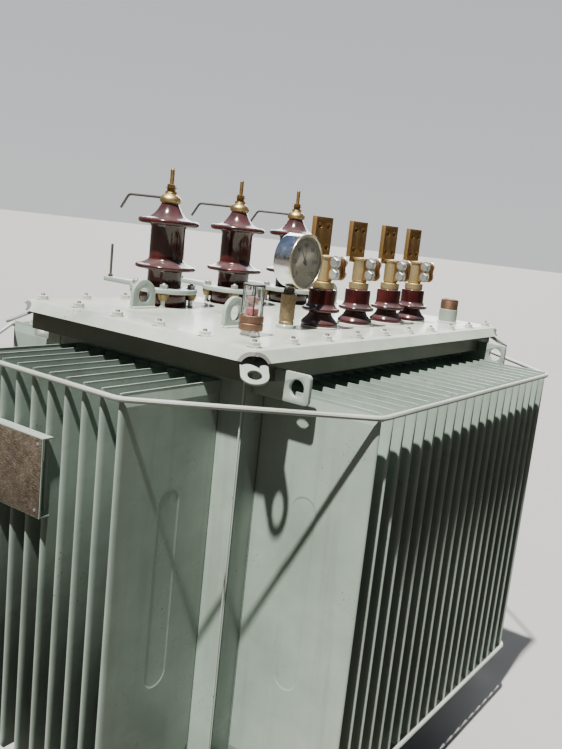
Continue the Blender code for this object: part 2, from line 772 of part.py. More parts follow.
def build_lv_bushings(porcelain, brass):
    """Four low-voltage bushings, the last one closer, each with a split clamp and a drilled flag."""
    spots = [LV_FIRST_X + i * LV_SPACING for i in range(LV_COUNT - 1)]
    spots.append(spots[-1] + LV_LAST_SPACING)
    for i, x in enumerate(spots):
        foot = (x, LV_ROW_Y, ON_COVER)
        revolve(f"lv_porcelain_{i + 1}", lv_porcelain_profile(), foot, porcelain, FINE_SIDES)
        build_lv_terminal(i + 1, x, LV_ROW_Y, brass)


def build_lv_terminal(number, x, y, brass):
    """Gland, split clamp and flag of one low-voltage bushing."""
    base = LV_PORCELAIN_HEIGHT + GAP
    clamp_low = base + LV_GLAND_HEIGHT
    clamp_top = clamp_low + LV_CLAMP_HEIGHT
    flange = LV_CLAMP_RADIUS + LV_FLANGE_LIP
    profile = [
        (0, base),
        (LV_GLAND_RADIUS, base),
        (LV_GLAND_RADIUS, clamp_low - LV_CLAMP_SEAT),
        (LV_CLAMP_RADIUS * 0.9, clamp_low - LV_CLAMP_SEAT),
        (LV_CLAMP_RADIUS * 0.9, clamp_low),
        (LV_CLAMP_RADIUS, clamp_low),
        (LV_CLAMP_RADIUS, clamp_top - LV_FLANGE_HEIGHT),
        (flange, clamp_top - LV_FLANGE_HEIGHT * 0.8),
        (flange, clamp_top),
        (0, clamp_top),
    ]
    terminal = revolve(f"lv_terminal_{number}", profile, (x, y, ON_COVER), brass)
    ear_top = ON_COVER + clamp_top - LV_EAR_BELOW_TOP
    ear_low = ear_top - LV_EAR_HEIGHT
    rounding = LV_EAR_ROUND
    tip = y - LV_EAR_REACH + rounding
    ear = [(y, ear_low), (y, ear_top)]
    ear += arc((tip, ear_top - rounding), rounding, 90, 180, 3)
    ear += arc((tip, ear_low + rounding), rounding, 180, 270, 3)
    inner = LV_EAR_SPLIT / 2
    for side in (-1, 1):
        near = x + side * inner
        far = x + side * (inner + LV_EAR_THICKNESS)
        join(terminal, prism("clamp_ear", ear, min(near, far), max(near, far), along))
    flag_low = ON_COVER + clamp_top - FLAG_ROOT
    flag_top = ON_COVER + clamp_top + FLAG_HEIGHT
    back = y + FLAG_SET_BACK
    half = FLAG_WIDTH / 2
    flag = box("flag", (x - half, back, flag_low), (x + half, back + FLAG_THICKNESS, flag_top))
    join(terminal, flag)
    middle = flag_top - FLAG_HEIGHT / 2
    for across_step in (-0.5, 0.5):
        for up_step in (-0.5, 0.5):
            spot = (x + across_step * FLAG_HOLE_ACROSS, middle + up_step * FLAG_HOLE_UP)
            ring = arc(spot, FLAG_HOLE_RADIUS, 0, 360, SMALL_SIDES)[:-1]
            low, high = back - FLAG_THICKNESS, back + FLAG_THICKNESS * 2
            cut(terminal, prism("flag_hole", ring, low, high, across))


def build_thermometer(chrome, brass):
    """Dial thermometer on a brass pocket."""
    centre = ON_COVER + DIAL_AXIS_HEIGHT
    back = DIAL_DEPTH - DIAL_FRONT
    rim = DIAL_RIM
    drum = DIAL_RADIUS - DIAL_BEZEL_STEP
    profile = [
        (0, -DIAL_FRONT + DIAL_GLASS_INSET),
        (DIAL_RADIUS - rim, -DIAL_FRONT + DIAL_GLASS_INSET),
        (DIAL_RADIUS - rim, -DIAL_FRONT),
        (DIAL_RADIUS, -DIAL_FRONT),
        (DIAL_RADIUS, -DIAL_FRONT + rim),
        (drum, -DIAL_FRONT + rim + DIAL_GROOVE),
        (drum, back - DIAL_BACK_ROUND),
        (drum - DIAL_BACK_ROUND, back),
        (0, back),
    ]
    place = (DIAL_X, DIAL_Y, centre)
    revolve("thermometer_head", profile, place, chrome, FINE_SIDES, axis="Y")
    top = DIAL_AXIS_HEIGHT - drum - GAP
    pocket = [
        (0, 0),
        (STEM_FOOT_RADIUS, 0),
        (STEM_FOOT_RADIUS, STEM_FOOT_HEIGHT),
        (STEM_RADIUS, STEM_FOOT_HEIGHT),
        (STEM_RADIUS, top - STEM_NECK_HEIGHT - STEM_SHOULDER),
        (STEM_NECK_RADIUS, top - STEM_NECK_HEIGHT),
        (STEM_NECK_RADIUS, top),
        (0, top),
    ]
    revolve("thermometer_pocket", pocket, (DIAL_X, DIAL_Y, ON_COVER), brass)


def build_oil_gauge(glass, brass, float_paint):
    """Oil gauge: threaded base, glass with its lid, and the float inside."""
    place = (GAUGE_X, GAUGE_Y, ON_COVER)
    shelf = GAUGE_PIPE_HEIGHT + GAUGE_UNION_HEIGHT
    base = [
        (0, 0),
        (GAUGE_PIPE_RADIUS, 0),
        (GAUGE_PIPE_RADIUS, GAUGE_PIPE_HEIGHT),
        (GAUGE_UNION_RADIUS, GAUGE_PIPE_HEIGHT),
        (GAUGE_UNION_RADIUS, shelf),
        (0, shelf),
    ]
    revolve("gauge_base", base, place, brass)
    low = shelf + GAP
    high = low + GAUGE_GLASS_HEIGHT
    bore = GAUGE_GLASS_RADIUS - GAUGE_GLASS_WALL
    tube_wall = [(bore, low), (GAUGE_GLASS_RADIUS, low), (GAUGE_GLASS_RADIUS, high), (bore, high)]
    revolve("gauge_glass", tube_wall + tube_wall[:1], place, glass)
    float_top = low + FLOAT_HEIGHT
    float_profile = [(0, low), (FLOAT_RADIUS, low), (FLOAT_RADIUS, float_top), (0, float_top)]
    revolve("gauge_float", float_profile, place, float_paint)
    lid = high + GAP
    rim = GAUGE_GLASS_RADIUS + GAUGE_LID_LIP
    lid_profile = [(0, lid), (rim, lid), (rim, lid + GAUGE_LID_HEIGHT), (0, lid + GAUGE_LID_HEIGHT)]
    revolve("gauge_lid", lid_profile, place, brass)


def build_filler(paint, brass):
    """Filler pipe with its threaded cap."""
    place = (FILLER_X, FILLER_Y, ON_COVER)
    pipe = [(0, 0), (FILLER_RADIUS, 0), (FILLER_RADIUS, FILLER_HEIGHT), (0, FILLER_HEIGHT)]
    revolve("filler_pipe", pipe, place, paint)
    low = FILLER_HEIGHT + GAP
    high = low + FILLER_CAP_HEIGHT
    cap = [(0, low), (FILLER_CAP_RADIUS, low), (FILLER_CAP_RADIUS, high - FILLER_CAP_ROUND)]
    cap += [(FILLER_CAP_RADIUS - FILLER_CAP_ROUND, high), (0, high)]
    revolve("filler_cap", cap, place, brass)


def build_rating_plate(paint, plate_metal):
    """Folded bracket on the outer edges of the left fins, with a bare plate on it."""
    fin_edge = -(TANK_LENGTH / 2 + END_FIN_DEPTH)
    back = fin_edge - GAP
    front = back - BRACKET_DEPTH
    half = PLATE_WIDTH / 2 + BRACKET_BORDER
    top = COVER_TOP - PLATE_BELOW_COVER + BRACKET_BORDER
    low = COVER_TOP - PLATE_BELOW_COVER - PLATE_HEIGHT - BRACKET_BORDER
    outline = [
        (back, top),
        (front, top),
        (front, low),
        (back, low),
        (back, low + BRACKET_SHEET),
        (front + BRACKET_SHEET, low + BRACKET_SHEET),
        (front + BRACKET_SHEET, top - BRACKET_SHEET),
        (back, top - BRACKET_SHEET),
    ]
    prism("plate_bracket", outline, PLATE_Y - half, PLATE_Y + half, across, paint)
    face = front - GAP
    plate_half = PLATE_WIDTH / 2
    box(
        "rating_plate",
        (face - PLATE_THICKNESS, PLATE_Y - plate_half, top - BRACKET_BORDER - PLATE_HEIGHT),
        (face, PLATE_Y + plate_half, top - BRACKET_BORDER),
        plate_metal,
    )


def centre_outline():
    """Shift everything so that the origin is below the middle of the whole outline."""
    for obj in bpy.data.objects:
        obj.location.x = (LEFT_REACH - RIGHT_REACH) / 2


def main():
    """Build every piece."""
    clear_scene()
    paint = finish("tank_paint", (0.30, 0.37, 0.33), 0.45, 0.0)
    rod_steel = finish("rod_paint", (0.38, 0.45, 0.41), 0.4, 0.0)
    porcelain = finish("brown_porcelain", (0.12, 0.02, 0.018), 0.12, 0.0)
    brass = finish("brass", (0.55, 0.38, 0.16), 0.35, 1.0)
    chrome = finish("chrome", (0.75, 0.76, 0.78), 0.08, 1.0)
    glass = finish("gauge_glass", (0.9, 0.92, 0.9), 0.03, 0.0)
    float_paint = finish("red_float", (0.6, 0.04, 0.03), 0.4, 0.0)
    plate_metal = finish("rating_plate_metal", (0.10, 0.07, 0.05), 0.4, 0.8)
    build_skids(paint)
    build_tank(paint)
    build_fin_walls(paint)
    build_tie_rods(rod_steel)
    build_rim(paint)
    build_cover(paint)
    build_corner_eyes(paint)
    build_lashing_plates(paint)
    build_lifting_lugs(paint)
    build_hv_bushings(porcelain, brass, paint)
    build_lv_bushings(porcelain, brass)
    build_thermometer(chrome, brass)
    build_oil_gauge(glass, brass, float_paint)
    build_filler(paint, brass)
    build_rating_plate(paint, plate_metal)
    centre_outline()


main()
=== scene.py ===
"""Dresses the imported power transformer: fine shapes, finishes, light and camera.

Metres, +Z up, in the frame's own axes: the low-voltage side faces -Y and the rating plate faces -X.
"""

import logging
import math
from dataclasses import dataclass, field
from enum import Enum
from typing import Callable, Iterable, Optional, Sequence

import bmesh
import bpy
from mathutils import Matrix, Vector


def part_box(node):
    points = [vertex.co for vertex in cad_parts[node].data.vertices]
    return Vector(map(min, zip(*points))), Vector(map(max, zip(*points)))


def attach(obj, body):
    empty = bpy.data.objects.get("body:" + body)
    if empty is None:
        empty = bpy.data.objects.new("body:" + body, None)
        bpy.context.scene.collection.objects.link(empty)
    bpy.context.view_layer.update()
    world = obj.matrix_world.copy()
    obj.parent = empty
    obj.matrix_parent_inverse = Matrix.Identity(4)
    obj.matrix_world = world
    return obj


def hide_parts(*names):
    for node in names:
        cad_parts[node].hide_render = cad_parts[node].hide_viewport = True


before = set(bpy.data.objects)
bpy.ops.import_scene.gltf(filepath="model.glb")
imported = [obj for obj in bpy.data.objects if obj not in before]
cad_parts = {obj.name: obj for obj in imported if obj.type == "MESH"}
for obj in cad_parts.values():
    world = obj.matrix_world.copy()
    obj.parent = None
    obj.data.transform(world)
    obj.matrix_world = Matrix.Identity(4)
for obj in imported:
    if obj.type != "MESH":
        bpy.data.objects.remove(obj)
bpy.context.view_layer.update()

LOG = logging.getLogger("transformer")

Point = tuple[float, float, float]
Colour = tuple[float, float, float]
Profile = list[tuple[float, float]]
Piece = bpy.types.Object
Socket = bpy.types.NodeSocket

# Clearance between pieces that touch
GAP = 0.0003
# Distance within which points count as level with each other
NEAR = 1e-4
# Cosine above which a face counts as facing a direction
FACING = 0.99
# Sides of turned pieces
FINE = 64
MEDIUM = 32
COARSE = 16
WELD_SIDES = 8
HEX = 6

# Colours that several finishes share
ROAD_DUST: Colour = (0.60, 0.59, 0.53)
RUN_STAIN: Colour = (0.16, 0.135, 0.09)
BARE_STEEL: Colour = (0.06, 0.05, 0.04)
RUST: Colour = (0.20, 0.07, 0.025)


class Toward(Enum):
    """Directions that pieces are turned or fastened along."""

    UP = (0.0, 0.0, 1.0)
    DOWN = (0.0, 0.0, -1.0)
    LEFT = (-1.0, 0.0, 0.0)
    RIGHT = (1.0, 0.0, 0.0)
    FRONT = (0.0, -1.0, 0.0)
    REAR = (0.0, 1.0, 0.0)


def arc(centre: tuple[float, float], radius: float, start: float, end: float, steps: int) -> Profile:
    """Points on an arc of a profile, with both ends.

    Args:
        centre: Radius and height of the arc's centre.
        radius: The arc's own radius.
        start: First angle in degrees, 0 pointing outward and 90 up.
        end: Last angle in degrees.
        steps: Number of straight pieces.

    Returns:
        The points as pairs of radius and height.
    """
    turns = [math.radians(start + (end - start) * i / steps) for i in range(steps + 1)]
    return [(centre[0] + radius * math.cos(t), centre[1] + radius * math.sin(t)) for t in turns]


def foot_of(node: str) -> Vector:
    """The middle of the underside of a CAD node's box."""
    low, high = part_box(node)
    return Vector(((low.x + high.x) / 2, (low.y + high.y) / 2, low.z))


def corner_of(node: str, side_x: int, side_y: int, level: float) -> Vector:
    """A corner of a CAD node's box, seen from above.

    Args:
        node: The node's name.
        side_x: -1 for a left corner, 1 for a right one.
        side_y: -1 for a front corner, 1 for a rear one.
        level: Height of the point.

    Returns:
        The point.
    """
    low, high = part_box(node)
    return Vector((high.x if side_x > 0 else low.x, high.y if side_y > 0 else low.y, level))


def chamfered(radius: float, low: float, high: float, edge: float) -> Profile:
    """The profile of a disc or tube with its outer edges chamfered."""
    return [(radius - edge, low), (radius, low + edge), (radius, high - edge), (radius - edge, high)]


class Bench:
    """Modelling by hand: adding, shaping, copying and joining pieces."""

    @staticmethod
    def clear() -> None:
        """Leave edit mode and deselect everything."""
        if bpy.context.object and bpy.context.object.mode != "OBJECT":
            bpy.ops.object.mode_set(mode="OBJECT")
        bpy.ops.object.select_all(action="DESELECT")

    @staticmethod
    def pick(*objects: Piece) -> None:
        """Select some objects and make the first one active.

        Args:
            objects: The objects, the active one first.
        """
        Bench.clear()
        for obj in objects:
            obj.select_set(True)
        bpy.context.view_layer.objects.active = objects[0]

    @staticmethod
    def edit(obj: Piece) -> bmesh.types.BMesh:
        """Open an object in edit mode with nothing selected.

        Args:
            obj: The object.

        Returns:
            Its mesh, open for editing.
        """
        Bench.pick(obj)
        bpy.context.tool_settings.mesh_select_mode = (True, True, True)
        bpy.ops.object.mode_set(mode="EDIT")
        bpy.ops.mesh.select_all(action="DESELECT")
        return bmesh.from_edit_mesh(obj.data)

    @staticmethod
    def select(obj: Piece, kind: str, test: Callable) -> int:
        """Select the faces, edges or vertices that pass a test, in edit mode.

        Args:
            obj: The object in edit mode.
            kind: "faces", "edges" or "verts".
            test: Called with each element, true for those to select.

        Returns:
            How many were selected.
        """
        shape = bmesh.from_edit_mesh(obj.data)
        bpy.ops.mesh.select_all(action="DESELECT")
        chosen = [part for part in getattr(shape, kind) if test(part)]
        for part in chosen:
            part.select_set(True)
        bmesh.update_edit_mesh(obj.data)
        return len(chosen)

    @staticmethod
    def settle(obj: Piece, name: str, angle: Optional[float] = 35.0) -> Piece:
        """Name a piece, put its place into its mesh and shade it.

        Args:
            obj: The piece.
            name: Its name.
            angle: Edges sharper than this many degrees stay sharp, or None for flat faces.

        Returns:
            The same piece.
        """
        Bench.pick(obj)
        bpy.ops.object.transform_apply(location=True, rotation=True, scale=True)
        if angle is not None:
            bpy.ops.object.shade_smooth_by_angle(angle=math.radians(angle))
        obj.name = name
        obj.data.name = name
        return obj

    @staticmethod
    def turned(
        name: str,
        spot: Sequence[float],
        profile: Profile,
        sides: int = MEDIUM,
        toward: Toward | Vector = Toward.UP,
        bored: bool = False,
        angle: Optional[float] = 35.0,
    ) -> Piece:
        """Turn a piece: a short drum, extruded and scaled ring by ring.

        Args:
            name: The piece's name.
            spot: The foot of its axis.
            profile: Pairs of radius and height; the second is higher than the first.
            sides: Sides of the full turn.
            toward: Direction of the axis.
            bored: True for a ring whose profile comes back down to its first height.
            angle: Edges sharper than this many degrees stay sharp.

        Returns:
            The piece.
        """
        axis = Vector(toward.value) if isinstance(toward, Toward) else toward.normalized()
        (first, low), (second, high), *rest = profile
        foot = Vector(spot)
        Bench.clear()
        bpy.ops.mesh.primitive_cone_add(
            vertices=sides,
            radius1=first,
            radius2=second,
            depth=high - low,
            location=foot + axis * (low + high) / 2,
            rotation=axis.to_track_quat("Z", "Y").to_euler(),
        )
        obj = bpy.context.object
        Bench.edit(obj)
        Bench.select(obj, "faces", lambda face: face.normal.z > FACING)
        radius, height = second, high
        for wide, tall in rest:
            if wide <= 0:
                break
            bpy.ops.mesh.extrude_region_move(
                TRANSFORM_OT_translate={"value": tuple(axis * (tall - height))}
            )
            share = wide / radius
            bpy.ops.transform.resize(value=(share,) * 3, center_override=tuple(foot + axis * tall))
            radius, height = wide, tall
        if bored:
            cap = lambda face: len(face.verts) == sides and abs(face.normal.z) > FACING
            Bench.select(obj, "faces", cap)
            bpy.ops.mesh.delete(type="ONLY_FACE")
            Bench.select(obj, "edges", lambda edge: edge.is_boundary)
            bpy.ops.mesh.bridge_edge_loops()
        bpy.ops.mesh.select_all(action="SELECT")
        bpy.ops.mesh.normals_make_consistent(inside=False)
        bpy.ops.object.mode_set(mode="OBJECT")
        return Bench.settle(obj, name, angle)

    @staticmethod
    def block(name: str, low: Sequence[float], high: Sequence[float]) -> Piece:
        """A block between two corners, as a start for a shaped piece.

        Args:
            name: The block's name.
            low: Its lowest corner.
            high: Its highest corner.

        Returns:
            The block.
        """
        low, high = Vector(low), Vector(high)
        Bench.clear()
        bpy.ops.mesh.primitive_cube_add(size=1.0, location=(low + high) / 2, scale=high - low)
        return Bench.settle(bpy.context.object, name, None)

    @staticmethod
    def modify(obj: Piece, kind: str, **settings: object) -> Piece:
        """Add one modifier with its settings, and apply it.

        Args:
            obj: The piece.
            kind: The modifier's type.
            settings: Its settings by name.

        Returns:
            The same piece.
        """
        Bench.pick(obj)
        change = obj.modifiers.new(kind.lower(), kind)
        for key, value in settings.items():
            setattr(change, key, value)
        bpy.ops.object.modifier_apply(modifier=change.name)
        return obj

    @staticmethod
    def soften(obj: Piece, width: float, segments: int = 2) -> Piece:
        """Round the sharp edges of a piece and shade it smooth by angle.

        Args:
            obj: The piece.
            width: Width of the rounding.
            segments: Steps of the rounding.

        Returns:
            The same piece.
        """
        limit = math.radians(40)
        Bench.modify(obj, "BEVEL", width=width, segments=segments, limit_method="ANGLE", angle_limit=limit)
        Bench.pick(obj)
        bpy.ops.object.shade_smooth_by_angle(angle=limit)
        return obj

    @staticmethod
    def drill(obj: Piece, cutter: Piece) -> Piece:
        """Cut one piece from another, and throw the cutter away.

        Args:
            obj: The piece that is cut.
            cutter: The piece that cuts.

        Returns:
            The cut piece.
        """
        Bench.modify(obj, "BOOLEAN", operation="DIFFERENCE", solver="EXACT", object=cutter)
        bpy.data.objects.remove(cutter, do_unlink=True)
        return obj

    @staticmethod
    def bore(
        obj: Piece, start: Sequence[float], radius: float, depth: float, toward: Toward | Vector
    ) -> None:
        """Drill a round hole.

        Args:
            obj: The piece.
            start: Where the drill starts, outside the piece.
            radius: Radius of the hole.
            depth: How far the drill goes.
            toward: Direction of the drill.
        """
        Bench.drill(obj, Bench.turned("hole", start, [(radius, 0.0), (radius, depth)], MEDIUM, toward))

    @staticmethod
    def round_tip(obj: Piece, tip: float, radius: float, segments: int) -> None:
        """Round the two corners at one end of a block, seen along X.

        Args:
            obj: The block.
            tip: The end's place along Y.
            radius: Radius of the corners.
            segments: Steps of each corner.
        """
        Bench.edit(obj)
        across = lambda part: abs((part.verts[0].co - part.verts[1].co).x) > NEAR
        at_tip = lambda part: all(abs(vertex.co.y - tip) < NEAR for vertex in part.verts)
        Bench.select(obj, "edges", lambda part: across(part) and at_tip(part))
        bpy.ops.mesh.bevel(offset=radius, segments=segments, profile=0.5, affect="EDGES")
        bpy.ops.object.mode_set(mode="OBJECT")

    @staticmethod
    def bisect(spot: Vector, normal: Vector, keep_both: bool) -> None:
        """Cut the mesh in edit mode by a plane.

        Args:
            spot: A point of the plane.
            normal: The plane's direction.
            keep_both: False to keep only the half behind the plane.
        """
        bpy.ops.mesh.select_all(action="SELECT")
        bpy.ops.mesh.bisect(
            plane_co=spot, plane_no=normal, use_fill=not keep_both, clear_outer=not keep_both
        )

    @staticmethod
    def tongue(
        name: str, centre: Vector, radius: float, thick: float, face: Vector, root: Vector, length: float
    ) -> Piece:
        """A plate with one round end.

        Args:
            name: The piece's name.
            centre: Centre of the round end, in the plate's middle plane.
            radius: Radius of the round end, and half of the plate's width.
            thick: Thickness of the plate.
            face: Direction that the plate faces.
            root: Direction from the round end to the root.
            length: From the centre to the root's edge.

        Returns:
            The piece.
        """
        face, root = face.normalized(), root.normalized()
        Bench.clear()
        bpy.ops.mesh.primitive_cylinder_add(
            vertices=FINE,
            radius=radius,
            depth=thick,
            location=centre,
            rotation=face.to_track_quat("Z", "Y").to_euler(),
        )
        obj = Bench.settle(bpy.context.object, name, None)
        Bench.edit(obj)
        Bench.bisect(centre, root, keep_both=False)
        Bench.select(obj, "faces", lambda part: part.normal.dot(root) > FACING)
        bpy.ops.mesh.extrude_region_move(TRANSFORM_OT_translate={"value": tuple(root * length)})
        bpy.ops.mesh.select_all(action="SELECT")
        bpy.ops.mesh.normals_make_consistent(inside=False)
        bpy.ops.object.mode_set(mode="OBJECT")
        return obj

    @staticmethod
    def rod(
        name: str, points: Sequence[Vector], radius: float, bend: float = 0.0, closed: bool = False
    ) -> Piece:
        """A round rod along some points: a corner drawn out point by point, then given its thickness.

        Args:
            name: The piece's name.
            points: The rod's corners.
            radius: Radius of the rod.
            bend: Distance from a corner at which the bend starts.
            closed: True for a rod that comes back to its start.

        Returns:
            The piece.
        """
        Bench.clear()
        bpy.ops.mesh.primitive_plane_add(size=radius, location=points[0])
        obj = bpy.context.object
        Bench.edit(obj)
        bpy.ops.mesh.select_all(action="SELECT")
        bpy.ops.mesh.merge(type="CENTER")
        for before, after in zip(points, points[1:]):
            bpy.ops.mesh.extrude_region_move(
                TRANSFORM_OT_translate={"value": tuple(Vector(after) - Vector(before))}
            )
        if closed:
            Bench.select(obj, "verts", lambda vertex: len(vertex.link_edges) == 1)
            bpy.ops.mesh.edge_face_add()
        if bend:
            Bench.select(obj, "verts", lambda vertex: len(vertex.link_edges) == 2)
            bpy.ops.mesh.bevel(affect="VERTICES", offset=bend, segments=5, profile=0.5)
        bpy.ops.object.mode_set(mode="OBJECT")
        Bench.pick(obj)
        bpy.ops.object.convert(target="CURVE")
        curve = bpy.context.object
        curve.data.bevel_depth = radius
        curve.data.bevel_resolution = 3
        curve.data.use_fill_caps = not closed
        bpy.ops.object.convert(target="MESH")
        return Bench.settle(bpy.context.object, name)

    @staticmethod
    def hexagon(
        name: str, spot: Sequence[float], across: float, height: float, toward: Toward = Toward.UP
    ) -> Piece:
        """A hexagon head or nut with a washer face and a chamfered top.

        Args:
            name: The piece's name.
            spot: The foot of its axis.
            across: Width across the flats.
            height: Height of the hexagon.
            toward: Direction from the washer to the top.

        Returns:
            The piece.
        """
        corner = across / math.sqrt(3)
        shape = [(corner, 0.0), (corner, height * 0.82), (corner * 0.88, height)]
        head = Bench.turned(name, spot, shape, HEX, toward, angle=20)
        ring = [(across * 0.72, -height * 0.16), (across * 0.76, -height * 0.1), (across * 0.76, 0.0)]
        return Bench.join(name, [head, Bench.turned("washer", spot, ring, MEDIUM, toward)])

    @staticmethod
    def stud(
        name: str, spot: Sequence[float], radius: float, height: float, toward: Toward = Toward.UP
    ) -> Piece:
        """A threaded stud: ridge after ridge, with a chamfered end.

        Args:
            name: The piece's name.
            spot: The foot of its axis.
            radius: Radius over the ridges.
            height: Length of the stud.
            toward: Direction to its end.

        Returns:
            The piece.
        """
        pitch = radius * 0.34
        count = max(2, int(height / pitch) - 1)
        depth = radius * 0.13
        shape = [(radius - depth, 0.0)]
        for i in range(count):
            base = pitch * (i + 0.25)
            shape += [(radius, base), (radius, base + pitch * 0.2), (radius - depth, base + pitch * 0.5)]
        shape += [(radius * 0.7, height)]
        return Bench.turned(name, spot, shape, COARSE, toward, angle=50)

    @staticmethod
    def bead(name: str, start: Vector, end: Vector, radius: float) -> Piece:
        """A weld bead from one point to another, with the ripples of its passes.

        Args:
            name: The piece's name.
            start: Where the bead starts.
            end: Where it ends.
            radius: Radius of the bead.

        Returns:
            The piece.
        """
        run = Vector(end) - Vector(start)
        count = max(3, int(run.length / (radius * 0.9)))
        step = run.length / count
        shape = [(radius * 0.3, 0.0)]
        for i in range(count):
            crest = radius * (0.97 + 0.07 * (i % 3))
            shape += [(crest, step * (i + 0.35)), (radius * 0.82, step * (i + 0.9))]
        shape += [(radius * 0.3, run.length)]
        return Bench.turned(name, start, shape, WELD_SIDES, run, angle=80)

    @staticmethod
    def copies(source: Piece, name: str, shifts: Iterable[Sequence[float]]) -> list[Piece]:
        """Copies of a piece, each with its own mesh. The piece itself is thrown away.

        Args:
            source: The piece.
            name: Start of the copies' names.
            shifts: How far each copy is moved.

        Returns:
            The copies.
        """
        made = []
        for i, shift in enumerate(shifts):
            obj = source.copy()
            obj.data = source.data.copy()
            bpy.context.scene.collection.objects.link(obj)
            obj.data.transform(Matrix.Translation(Vector(shift)))
            obj.name = f"{name}_{i + 1}"
            obj.data.name = obj.name
            made.append(obj)
        bpy.data.objects.remove(source, do_unlink=True)
        return made

    @staticmethod
    def join(name: str, objects: Sequence[Piece]) -> Piece:
        """Join several pieces into one.

        Args:
            name: Name of the joined piece.
            objects: The pieces.

        Returns:
            The joined piece.
        """
        Bench.pick(*objects)
        bpy.ops.object.join()
        obj = bpy.context.object
        obj.name = name
        obj.data.name = name
        return obj

    @staticmethod
    def repeat(name: str, source: Piece, shifts: Iterable[Sequence[float]]) -> Piece:
        """Repeat a piece at the given shifts, as one piece with the given name."""
        return Bench.join(name, Bench.copies(source, name, shifts))


class Recipe:
    """The node tree of one finish, built by short calls."""

    def __init__(self, name: str) -> None:
        """Start a material with its Principled shader and the piece's own coordinates.

        Args:
            name: The material's name.
        """
        self.material = bpy.data.materials.new(name)
        self.material.use_nodes = True
        self.tree = self.material.node_tree
        self.shader = self.tree.nodes["Principled BSDF"]
        self.place = self.tree.nodes.new("ShaderNodeTexCoord").outputs["Object"]
        self.relief: Optional[Socket] = None

    @classmethod
    def of(cls, tree: bpy.types.NodeTree) -> "Recipe":
        """Work on a node tree that isn't a material's.

        Args:
            tree: The node tree.

        Returns:
            The recipe.
        """
        recipe = cls.__new__(cls)
        recipe.tree, recipe.relief = tree, None
        return recipe

    def put(self, kind: str, inputs: dict, output: int | str = 0, **settings: object) -> Socket:
        """Add a node.

        Args:
            kind: The node's type.
            inputs: Values or sockets by input name or number.
            output: The output to return.
            settings: The node's own settings.

        Returns:
            The chosen output socket.
        """
        node = self.tree.nodes.new(kind)
        for key, value in settings.items():
            setattr(node, key, value)
        for key, value in inputs.items():
            if isinstance(value, Socket):
                self.tree.links.new(value, node.inputs[key])
            else:
                node.inputs[key].default_value = value
        return node.outputs[output]

    def stretch(self, scale: Point) -> Socket:
        """The piece's coordinates, scaled by axis."""
        return self.put("ShaderNodeMapping", {"Vector": self.place, "Scale": scale})

    def noise(self, scale: float, detail: float = 4.0, rough: float = 0.55, place: object = None) -> Socket:
        """Cloudy noise from 0 to 1.

        Args:
            scale: Patches per metre.
            detail: Number of finer layers.
            rough: Strength of the finer layers.
            place: Coordinates other than the piece's own.

        Returns:
            The noise.
        """
        where = place or self.place
        inputs = {"Vector": where, "Scale": scale, "Detail": detail, "Roughness": rough}
        return self.put("ShaderNodeTexNoise", inputs)

    def cells(self, scale: float) -> Socket:
        """A random grey for each cell of a cell pattern."""
        colour = self.put("ShaderNodeTexVoronoi", {"Vector": self.place, "Scale": scale}, "Color")
        return self.put("ShaderNodeSeparateColor", {"Color": colour}, 0)

    def span(self, value: object, low: float, high: float, start: float = 0.0, end: float = 1.0) -> Socket:
        """Map a value between low and high to start and end, clamped."""
        inputs = {"Value": value, "From Min": low, "From Max": high, "To Min": start, "To Max": end}
        return self.put("ShaderNodeMapRange", inputs)

    def sums(self, operation: str, first: object, second: object = 0.0) -> Socket:
        """A Math node."""
        return self.put("ShaderNodeMath", {0: first, 1: second}, operation=operation)

    def mix(self, share: object, first: object, second: object) -> Socket:
        """Mix two colours or sockets.

        Args:
            share: How much of the second, 0 to 1.
            first: First colour or socket.
            second: Second colour or socket.

        Returns:
            The mixed colour.
        """
        node = self.tree.nodes.new("ShaderNodeMix")
        node.data_type = "RGBA"
        for key, value in ((0, share), (6, first), (7, second)):
            if isinstance(value, Socket):
                self.tree.links.new(value, node.inputs[key])
            else:
                node.inputs[key].default_value = (*value, 1.0) if isinstance(value, tuple) else value
        return node.outputs[2]

    def facing_up(self) -> Socket:
        """How far the surface faces up, 0 to 1."""
        normal = self.put("ShaderNodeNewGeometry", {}, "Normal")
        return self.span(self.put("ShaderNodeSeparateXYZ", {"Vector": normal}, "Z"), 0.25, 0.95)

    def bump(self, height: object, depth: float, strength: float = 1.0) -> None:
        """Add relief.

        Args:
            height: Socket of the relief, 0 to 1.
            depth: Depth in metres.
            strength: Share of the relief that shows.
        """
        inputs = {"Height": height, "Distance": depth, "Strength": strength}
        if self.relief:
            inputs["Normal"] = self.relief
        self.relief = self.put("ShaderNodeBump", inputs)

    def done(self, colour: object, rough: object, **uniform: object) -> bpy.types.Material:
        """Join colour, roughness and relief to the shader and set its uniform values.

        Args:
            colour: Socket of the base colour.
            rough: Socket of the roughness.
            uniform: The shader's other values, by input name with _ for a blank.

        Returns:
            The material.
        """
        self.tree.links.new(colour, self.shader.inputs["Base Color"])
        self.tree.links.new(rough, self.shader.inputs["Roughness"])
        if self.relief:
            self.tree.links.new(self.relief, self.shader.inputs["Normal"])
        for key, value in uniform.items():
            self.shader.inputs[key.replace("_", " ")].default_value = value
        return self.material


